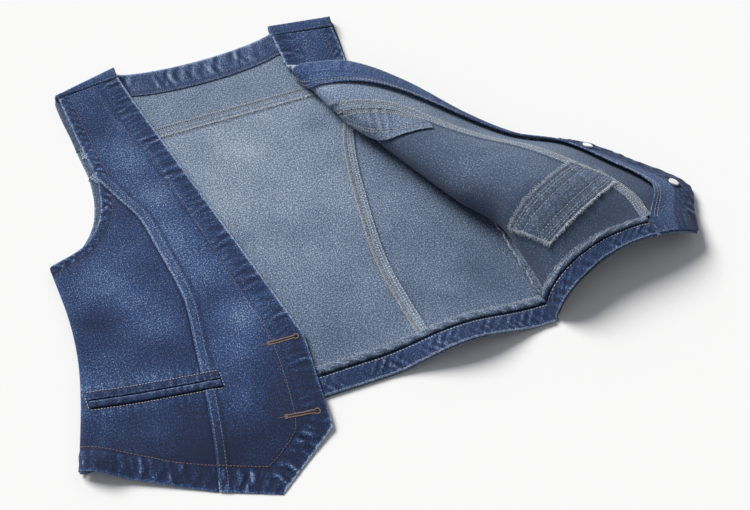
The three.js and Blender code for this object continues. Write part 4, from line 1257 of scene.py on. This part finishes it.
# %% [markdown]
# ## Stitches
# A stitch is a short fat thread whose ends dive into the cloth. One is made from a small
# sphere and copied along every row, so each row follows its seam exactly. Overlocking is the
# same stitch laid across the edge, close together and slightly slanted.

# %% One stitch, copied along a row
bpy.ops.object.select_all(action="DESELECT")
bpy.ops.mesh.primitive_uv_sphere_add(segments=6, ring_count=4, radius=1)
pattern_stitch = bpy.context.object
STITCH_POINTS = np.array([tuple(v.co) for v in pattern_stitch.data.vertices])
STITCH_FACES = [tuple(p.vertices) for p in pattern_stitch.data.polygons]
bpy.data.objects.remove(pattern_stitch)


def surface(place, side, lift, form=None):
    """A function from pattern points to points on top of a finished piece, and their normals."""
    def top(xy):
        points, normals = place(xy)
        height = form(xy)[0] if form else 0
        return points + side * normals * (lift + height + 0 * xy[:, 0])[:, None], side * normals
    return top


def row(top, line, pitch=3.2, length=2.5, radius=0.34, turn=0.0, zigzag=0.0, seed=0, tone=0.6, rise=0.12):
    """Ends, normals, radii and tones of the stitches of one row. TURN is 90 across the line."""
    draw = np.random.default_rng(seed)
    count = max(int(length_of(line) / pitch), 2)
    points = equal_steps(line, count * 2)[1::2]
    left = line_left(points)
    ahead = np.stack([left[:, 1], -left[:, 0]], 1)
    angle = np.radians(turn + zigzag * (np.arange(count) % 2 * 2 - 1) + draw.normal(0, 4, count))[:, None]
    way = (np.cos(angle) * ahead + np.sin(angle) * left) * length / 2
    points = points + left * draw.normal(0, 0.12, (count, 1))
    start, normal = top(points - way)
    end, _ = top(points + way)
    return (start + normal * rise, end + normal * rise, normal, np.full(count, radius),
            tone + draw.normal(0, 0.12, count))


def sew(name, rows, look, part_of):
    """One piece of thread from many rows of stitches."""
    start, end, normal, radius, tone = (np.concatenate(column) for column in zip(*rows))
    middle, axis = (start + end) / 2, (end - start) / 2
    across = np.cross(normal, axis)
    across /= np.maximum(np.linalg.norm(across, axis=1, keepdims=True), 1e-9)
    x, y, z = STITCH_POINTS.T
    points = (middle[:, None] + axis[:, None] * z[None, :, None]
              + across[:, None] * (x[None] * radius[:, None])[..., None]
              + normal[:, None] * (y[None] * radius[:, None])[..., None])
    size = len(STITCH_POINTS)
    faces = [tuple(v + k * size for v in face) for k in range(len(points)) for face in STITCH_FACES]
    piece = new_mesh(name, points.reshape(-1, 3), faces, [look])
    point_value(piece, "tone", np.repeat(tone, size))
    trims.setdefault(part_of, []).append(piece)
    print(name, len(points), "stitches")


# %% Rows on the fronts
TOP_RIGHT = surface(right_place, 1, DENIM / 2, RIGHT_FORM)
TOP_LEFT_OUT = surface(left_place, 1, DENIM / 2, LEFT_FORM)
FACING_ROW = curve([[113, -31], [106, -65], [81, -127], [69, -188], [59, -242], [50, -290], [43, -330],
                    [35, -373], [34, -415], [37, -455], [43, -482], [62, -499], [77, -508]], 300)
HEM_STITCH = curve([[77, -508], [99, -500], [134, -486], [159, -474], [178, -462], [207, -445],
                    [231, -433]], 100)
ARM_STITCH = beside(FRONT_ARMHOLE, -ARM_BAND)
RIBBON_ROWS = [beside(PRINCESS_LINE, -away) for away in RIBBON_STITCHES]
POCKET_AWAY = 1.6  # the pocket's stitches stand this far out from the welts
POCKET_STITCH = [equal_steps(POCKET_FRAME[k:k + 2] + np.array(way) * POCKET_AWAY, 60)
                 for k, way in enumerate(((0, 1), (1, 0), (0, -1), (-1, 0)))]


def rows_on(top, lines, seed, **look):
    """One row of stitches on each line."""
    return [row(top, line, seed=seed + k, **look) for k, line in enumerate(lines)]


def front_rows(top, sign, seed):
    """Rows of a front's edge and armhole, and apart from them those of its ribbon."""
    edge = row(top, FACING_ROW * [sign, 1], seed=seed, tone=0.45, radius=0.25)
    arm = row(top, ARM_STITCH * [sign, 1], seed=seed + 1, tone=0.45, radius=0.26)
    ribbon = rows_on(top, [line * [sign, 1] for line in RIBBON_ROWS], seed + 2, tone=0.2, radius=0.25)
    return [edge, arm], ribbon


edge_rows, ribbon_rows = front_rows(TOP_RIGHT, -1, 101)
sew("right_front_stitches", edge_rows, TAN_THREAD, "right_front_centre_cloth")
sew("right_ribbon_stitches", ribbon_rows, PALE_THREAD, "right_front_centre_cloth")
sew("right_hem_stitches", [row(TOP_RIGHT, mirror(HEM_STITCH), seed=111, tone=0.5, radius=0.36)], RUST_THREAD,
    "right_front_side_cloth")
pocket_rows = rows_on(TOP_RIGHT, [mirror(line) for line in POCKET_STITCH], 112, tone=0.75, radius=0.36,
                      pitch=2.8, length=2.1)
sew("right_pocket_stitches", pocket_rows, PALE_THREAD, "right_front_side_cloth")
edge_rows, ribbon_rows = front_rows(TOP_LEFT_OUT, 1, 121)
sew("left_front_stitches", edge_rows, TAN_THREAD, "left_front_centre_cloth")
sew("left_ribbon_stitches", ribbon_rows + [row(TOP_LEFT_OUT, HEM_STITCH, seed=131, tone=0.5)], PALE_THREAD,
    "left_front_centre_cloth")

# %% Rows and overlocking on the inside
TOP_STRIP = surface(back_place, 1, SKIN + 0.45)
TOP_LEFT_STRIP = surface(left_place, -1, SKIN + 0.65)
TOP_HEM = surface(back_place, 1, ROLL_UP, BACK_HEM_FORM)
TOP_LEFT_HEM = surface(left_place, -1, ROLL_UP, LEFT_HEM_FORM)
TOP_FACING = surface(left_place, -1, ROLL_UP, edge_facing_form)
TOP_LENS = surface(left_place, -1, ROLL_UP, lens_form)
TOP_STAY = surface(left_place, -1, ROLL_UP, stay_form)
TOP_NECK = surface(yoke_place, 1, BAND_UP, neck_form)


def overlock(top, line, seed, width=4.6, tone=0.45, pitch=1.9):
    """Slanted threads across an edge and a beaded line along each side of them."""
    threads = row(top, line, pitch, width, 0.3, turn=90, zigzag=14, seed=seed, tone=tone, rise=0.3)
    beads = rows_on(top, [beside(line, width / 2), beside(line, -width / 2)], seed + 1, pitch=pitch,
                    length=1.5, radius=0.36, zigzag=25, tone=tone + 0.35, rise=0.4)
    return [threads] + beads


def between(a, b, share):
    """The line at a SHARE of the way from line A to line B."""
    return a * (1 - share) + b * share


FREE_EDGE = ALLOWANCE - 1.6  # the overlocked edge of an allowance
right_seam_shown = mirror(back_seam_shown)
back_free, right_free = beside(back_seam_shown, -FREE_EDGE), beside(right_seam_shown, FREE_EDGE)
sew("back_princess_overlock", overlock(TOP_STRIP, back_free, 141) + overlock(TOP_STRIP, right_free, 144),
    PALE_THREAD, "back_centre_cloth")
princess_rows = []
for line, sign in ((back_seam_shown, -1), (right_seam_shown, 1)):
    lines = [beside(line, sign * away) for away in (1.6, 4.6)]
    princess_rows += rows_on(TOP_STRIP, lines, 147, tone=0.8, radius=0.4)
sew("back_princess_stitches", princess_rows, PALE_THREAD, "back_centre_cloth")
sew("yoke_overlock", overlock(surface(yoke_place, 1, DENIM / 2 + 0.4), YOKE_LINE + [0, 2.2], 151, width=3.6)
    + [row(TOP_STRIP, YOKE_LINE - [0, 4.2], seed=154, tone=0.85, radius=0.42),
       row(TOP_STRIP, YOKE_LINE - [0, 8.6], 2.2, 3.4, 0.3, turn=80, zigzag=20, seed=155, tone=0.55,
           rise=0.1)],
    PALE_THREAD, "back_yoke_cloth")
left_free = beside(left_seam_shown, -FREE_EDGE)
left_rows = [beside(left_seam_shown, -away) for away in (1.4, 4.4)]
sew("left_princess_overlock", overlock(TOP_LEFT_STRIP, left_free, 161), PALE_THREAD,
    "left_front_centre_cloth")
sew("left_princess_stitches", rows_on(TOP_LEFT_STRIP, left_rows, 164, tone=0.7), PALE_THREAD,
    "left_front_centre_cloth")
sew("back_hem_stitches", [row(TOP_HEM, beside(hem_edge, HEM_ROW), seed=171, tone=0.75, radius=0.36),
                          row(TOP_HEM, beside(hem_edge, 1.4), seed=172, tone=0.4, radius=0.25)],
    PALE_THREAD, "back_hem_facing_cloth")
left_hem_row = between(LEFT_HEM, LEFT_HEM_RAW, HEM_ROW / HEM_DEPTH)
sew("left_hem_stitches", [row(TOP_LEFT_HEM, left_hem_row, seed=173, tone=0.75, radius=0.36)], PALE_THREAD,
    "left_hem_facing_cloth")
facing_rows = [between(FACING_IN, FACING_OUT, share) for share in (0.08, 0.15)]
sew("left_facing_stitches", rows_on(TOP_FACING, facing_rows, 175, tone=0.55, radius=0.28), PALE_THREAD,
    "left_front_facing_cloth")
lens_seam, lens_arm = LENS_SEAM[4:-3], LENS_ARM[4:-3]
lens_rows = [row(TOP_LENS, between(lens_arm, lens_seam, share), seed=184, tone=0.5) for share in (0.3, 0.22)]
lens_bound = overlock(TOP_LENS, between(lens_seam, lens_arm, 0.06), 181, width=3.6)
sew("left_lens_stitches", lens_bound + lens_rows, PALE_THREAD, "left_armhole_facing_cloth")
stay_rows = [pocket_spot(stay_share, up) for up in (17.5, 14.5, 8.2, -8.2, -14.5, -17.5)]
sew("pocket_stay_stitches", rows_on(TOP_STAY, stay_rows, 191, tone=0.65, radius=0.32, pitch=2.9, length=2.2),
    PALE_THREAD, "left_pocket_stay_cloth")
sew("neck_stitches", [row(TOP_NECK, neck_low + [0, 3.0], seed=197, tone=0.4, radius=0.28)], TAN_THREAD,
    "neck_facing_cloth")

# %% [markdown]
# ## Fray
# Where denim is cut and not bound, the cross threads fall out and pale yarn ends stand clear.
# Each is a thin three-sided yarn, bent in its middle, that starts just inside the cut edge.
# Its direction, length and curl come from a seeded generator, so every run gives the same fray.

# %% Loose yarns
def fray(name, edges, part_of, seed):
    """Yarns along the edges: (top, line, side, pitch, shortest, longest, rise)."""
    draw = np.random.default_rng(seed)
    roots, middles, tips = [], [], []
    for top, line, side, pitch, shortest, longest, rise in edges:
        count = int(length_of(line) / pitch)
        points = equal_steps(line, count * 2)[1::2]
        left = line_left(points) * side
        ahead = np.stack([left[:, 1], -left[:, 0]], 1)
        length = draw.uniform(shortest, longest, (count, 1))
        slant = draw.normal(0, 0.55, (count, 1))
        bend = draw.normal(0, 0.4, (count, 1))
        inset = draw.uniform(0.4, 1.6, (count, 1))
        root, normal = top(points - left * inset)
        middle, _ = top(points + (left + ahead * slant) * length * 0.45)
        tip, _ = top(points + (left + ahead * (slant + bend)) * length)
        up = draw.uniform(0.1, 1, (count, 1)) * rise
        roots.append(root + normal * 0.15)
        middles.append(middle + normal * (0.3 + up * 0.6))
        tips.append(tip + normal * up * draw.uniform(0.2, 1.2, (count, 1)))
    root, middle, tip = (np.concatenate(part) for part in (roots, middles, tips))
    ring = np.array([[math.cos(a), math.sin(a)] for a in np.radians([0, 120, 240])])
    axis = tip - root
    one = np.cross(axis, [0.3, 0.1, 1.0])
    one /= np.maximum(np.linalg.norm(one, axis=1, keepdims=True), 1e-9)
    two = np.cross(axis, one)
    two /= np.maximum(np.linalg.norm(two, axis=1, keepdims=True), 1e-9)
    around = ring[:, 0][None, :, None] * one[:, None] + ring[:, 1][None, :, None] * two[:, None]
    points = np.concatenate([root[:, None] + around * 0.2, middle[:, None] + around * 0.17,
                             tip[:, None] + around * 0.05], 1)
    faces = []
    for k in range(len(points)):
        first = 9 * k
        faces += [(first + 2, first + 1, first), (first + 6, first + 7, first + 8)]
        for level in (first, first + 3):
            for i in range(3):
                after = (i + 1) % 3
                faces.append((level + i, level + after, level + 3 + after, level + 3 + i))
    piece = new_mesh(name, points.reshape(-1, 3), faces, [RAW_YARN])
    point_value(piece, "tone", np.repeat(draw.uniform(0.2, 1.0, len(points)), 9))
    trims.setdefault(part_of, []).append(piece)
    print(name, len(points), "yarns")


TOP_ROPE, TOP_LEFT_ROPE = surface(back_place, 1, ROLL_UP + 0.6), surface(left_place, -1, ROLL_UP + 0.6)
TOP_SEAM = surface(seam_place, seam_up, 0.1)
ridge = np.stack([np.linspace(4, SIDE_ROWS - 2, 120), np.full(120, CREST * SEAM_ACROSS)], 1)
raw_shown = hem_shown + [0, HEM_DEPTH]
EDGE_FRAY, CURL_FRAY, BOUND_FRAY = (0.55, 1.0, 3.6, 1.6), (0.8, 1.5, 4.0, 2.0), (0.8, 1.5, 3.4, 0.6)
STAY_FRAY, END_FRAY = (0.5, 1.0, 4.2, 1.6), (0.5, 1.0, 3.5, 1.4)
fray("hem_fray", [
    (TOP_ROPE, raw_shown, 1, *EDGE_FRAY), (TOP_ROPE, raw_shown - [0, 3.5], 1, *CURL_FRAY),
    (TOP_LEFT_ROPE, LEFT_HEM_RAW, 1, *EDGE_FRAY),
    (TOP_LEFT_ROPE, between(LEFT_HEM, LEFT_HEM_RAW, 0.9), 1, *CURL_FRAY)], "back_hem_facing_cloth", 201)
fray("seam_fray", [(TOP_SEAM, ridge, 1, 0.3, 0.8, 3.4, 1.4), (TOP_SEAM, ridge, -1, 0.35, 0.8, 3.0, 1.4)],
     "back_side_left_cloth", 203)
fray("stay_fray", [
    (TOP_STAY, STAY_TOP, 1, *STAY_FRAY), (TOP_STAY, STAY_LOW, -1, *STAY_FRAY),
    (TOP_STAY, STAY_TOP - [0, 1.2], 1, 0.7, 1.0, 3.0, 1.6),
    (TOP_STAY, np.array([STAY_LOW[0], STAY_TOP[0]]), 1, *END_FRAY),
    (TOP_STAY, np.array([STAY_LOW[-1], STAY_TOP[-1]]), -1, *END_FRAY)], "left_pocket_stay_cloth", 205)
fray("inside_fray", [
    (TOP_STRIP, YOKE_LINE - [0, 9.6], -1, 0.7, 0.8, 3.2, 0.6), (TOP_STRIP, back_free, -1, *BOUND_FRAY),
    (TOP_LEFT_STRIP, left_free, -1, *BOUND_FRAY)], "back_centre_cloth", 207)

# %% [markdown]
# ## Buttonholes and button metal
# A keyhole buttonhole is an eyelet at the edge end and a straight slit behind it, both bound
# by close satin stitches, with a bar tack at the tail. The metal buttons are riveted: a domed
# cap outside and, inside, the flat bright back of the tack.

# %% Buttonholes of the right front
EYELETS = {"upper": ((11, -389), (37, -388)), "lower": ((18, -472), (46, -468))}  # eye, tail end
EYE_RADIUS, LEG_OFF = 2.6, 1.35
BOUND = {"pitch": 0.62, "length": 1.5, "radius": 0.3, "turn": 90, "zigzag": 6, "tone": 0.6, "rise": 0.4}
TACKED = {"pitch": 1.4, "length": 2.0, "radius": 0.34, "zigzag": 4, "seed": 215, "tone": 0.6, "rise": 0.5}


def stitched(start, end, count, **look):
    """A row on the right front, between two points of the wearer's left pattern."""
    return row(TOP_RIGHT, mirror(equal_steps(np.array([start, end]), count)), **look)


for which, (eye, tail_end) in EYELETS.items():
    eye, tail_end = np.array(eye, float), np.array(tail_end, float)
    way = (tail_end - eye) / np.linalg.norm(tail_end - eye)
    left = np.array([-way[1], way[0]])
    turn = np.linspace(0.5, 2 * np.pi - 0.5, 26)
    ring = eye + EYE_RADIUS * np.stack([np.cos(turn), np.sin(turn)], 1) @ np.array([way, left])
    rows = [row(TOP_RIGHT, mirror(ring), seed=211, **BOUND)]
    for seed, off in ((212, left * LEG_OFF), (213, -left * LEG_OFF)):
        rows.append(stitched(eye + way * 2.2 + off, tail_end + off, 30, seed=seed, **BOUND))
    for end in (tail_end, tail_end + way * 0.9, tail_end + way * 1.8):
        rows.append(stitched(end - [0, 2.4], end + [0, 2.4], 6, **TACKED))
    rows.append(stitched(tail_end, tail_end + way * 9, 10, pitch=1.8, length=2.4, radius=0.26, zigzag=10,
                         seed=217, tone=0.5, rise=0.3))
    sew(f"buttonhole_{which}", rows, TAN_THREAD, "right_front_centre_cloth")
    # the eyelet's hole and the slit are near-black blobs of thread mesh: painted shade in the openings
    hole = stitched(eye - way * 1.2, eye + way * 1.2, 4, pitch=0.8, length=2.6, radius=1.3, turn=90,
                    seed=219, tone=0, rise=0)
    slit = stitched(eye + way, tail_end, 12, pitch=1.5, length=2.2, radius=0.7, seed=220, tone=0, rise=0.1)
    sew(f"buttonhole_{which}_slit", [hole, slit], SLIT_SHADE, "right_front_centre_cloth")

# %% Buttons
BUTTONS = {"upper": (31, -392), "lower": (38, -476)}
TACK_RADIUS, TACK_HEIGHT, CAP_RADIUS, CAP_HEIGHT = 5.3, 1.6, 7.5, 3.8
TACK_UP = ROLL_UP + 0.9 + TACK_HEIGHT / 2  # middles of the discs, from the middle of the cloth
CAP_UP = DENIM / 2 + 0.6 + CAP_HEIGHT / 2


def metal_disc(name, centre, normal, radius, height, dish, node):
    """A turned disc on the cloth, its top inset and pushed by DISH, with a rounded rim."""
    turn = Vector(normal).to_track_quat("Z", "Y").to_euler()
    bpy.ops.object.select_all(action="DESELECT")
    bpy.ops.mesh.primitive_cylinder_add(vertices=48, radius=radius * MM, depth=height * MM,
                                        location=centre * MM + SHIFT, rotation=turn)
    piece = bpy.context.object
    piece.name = name
    bpy.ops.object.mode_set(mode="EDIT")
    bpy.ops.mesh.select_all(action="DESELECT")
    bpy.ops.object.mode_set(mode="OBJECT")
    for face in piece.data.polygons:
        face.select = face.normal.z > 0.9
    bpy.ops.object.mode_set(mode="EDIT")
    bpy.ops.mesh.inset(thickness=radius * 0.24 * MM, depth=dish * MM)
    bpy.ops.mesh.inset(thickness=radius * 0.12 * MM, depth=0)
    bpy.ops.mesh.inset(thickness=radius * 0.3 * MM, depth=dish * 0.6 * MM)
    bpy.ops.object.mode_set(mode="OBJECT")
    bpy.ops.object.transform_apply(location=True, rotation=True, scale=True)
    rim = piece.modifiers.new("rim", "BEVEL")
    rim.width = 0.35 * MM
    rim.segments = 3
    bpy.ops.object.modifier_apply(modifier="rim")
    bpy.ops.object.shade_smooth_by_angle(angle=math.radians(40))
    piece.data.materials.append(BRIGHT_METAL)
    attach(piece, "root")
    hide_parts(node)
    trims.setdefault("left_front_centre_cloth", []).append(piece)
    made[name] = piece


for which, spot in BUTTONS.items():
    point, normal = (values[0] for values in left_place(np.array([spot], float)))
    tack, cap = point - normal * TACK_UP, point + normal * CAP_UP
    metal_disc(f"tack_back_{which}", tack, -normal, TACK_RADIUS, TACK_HEIGHT, 0.1, f"button_tack_{which}")
    metal_disc(f"button_cap_{which}", cap, normal, CAP_RADIUS, CAP_HEIGHT, -0.3, f"button_{which}")
print("pieces made:", len(made))

print("sheets:", len(sheets))
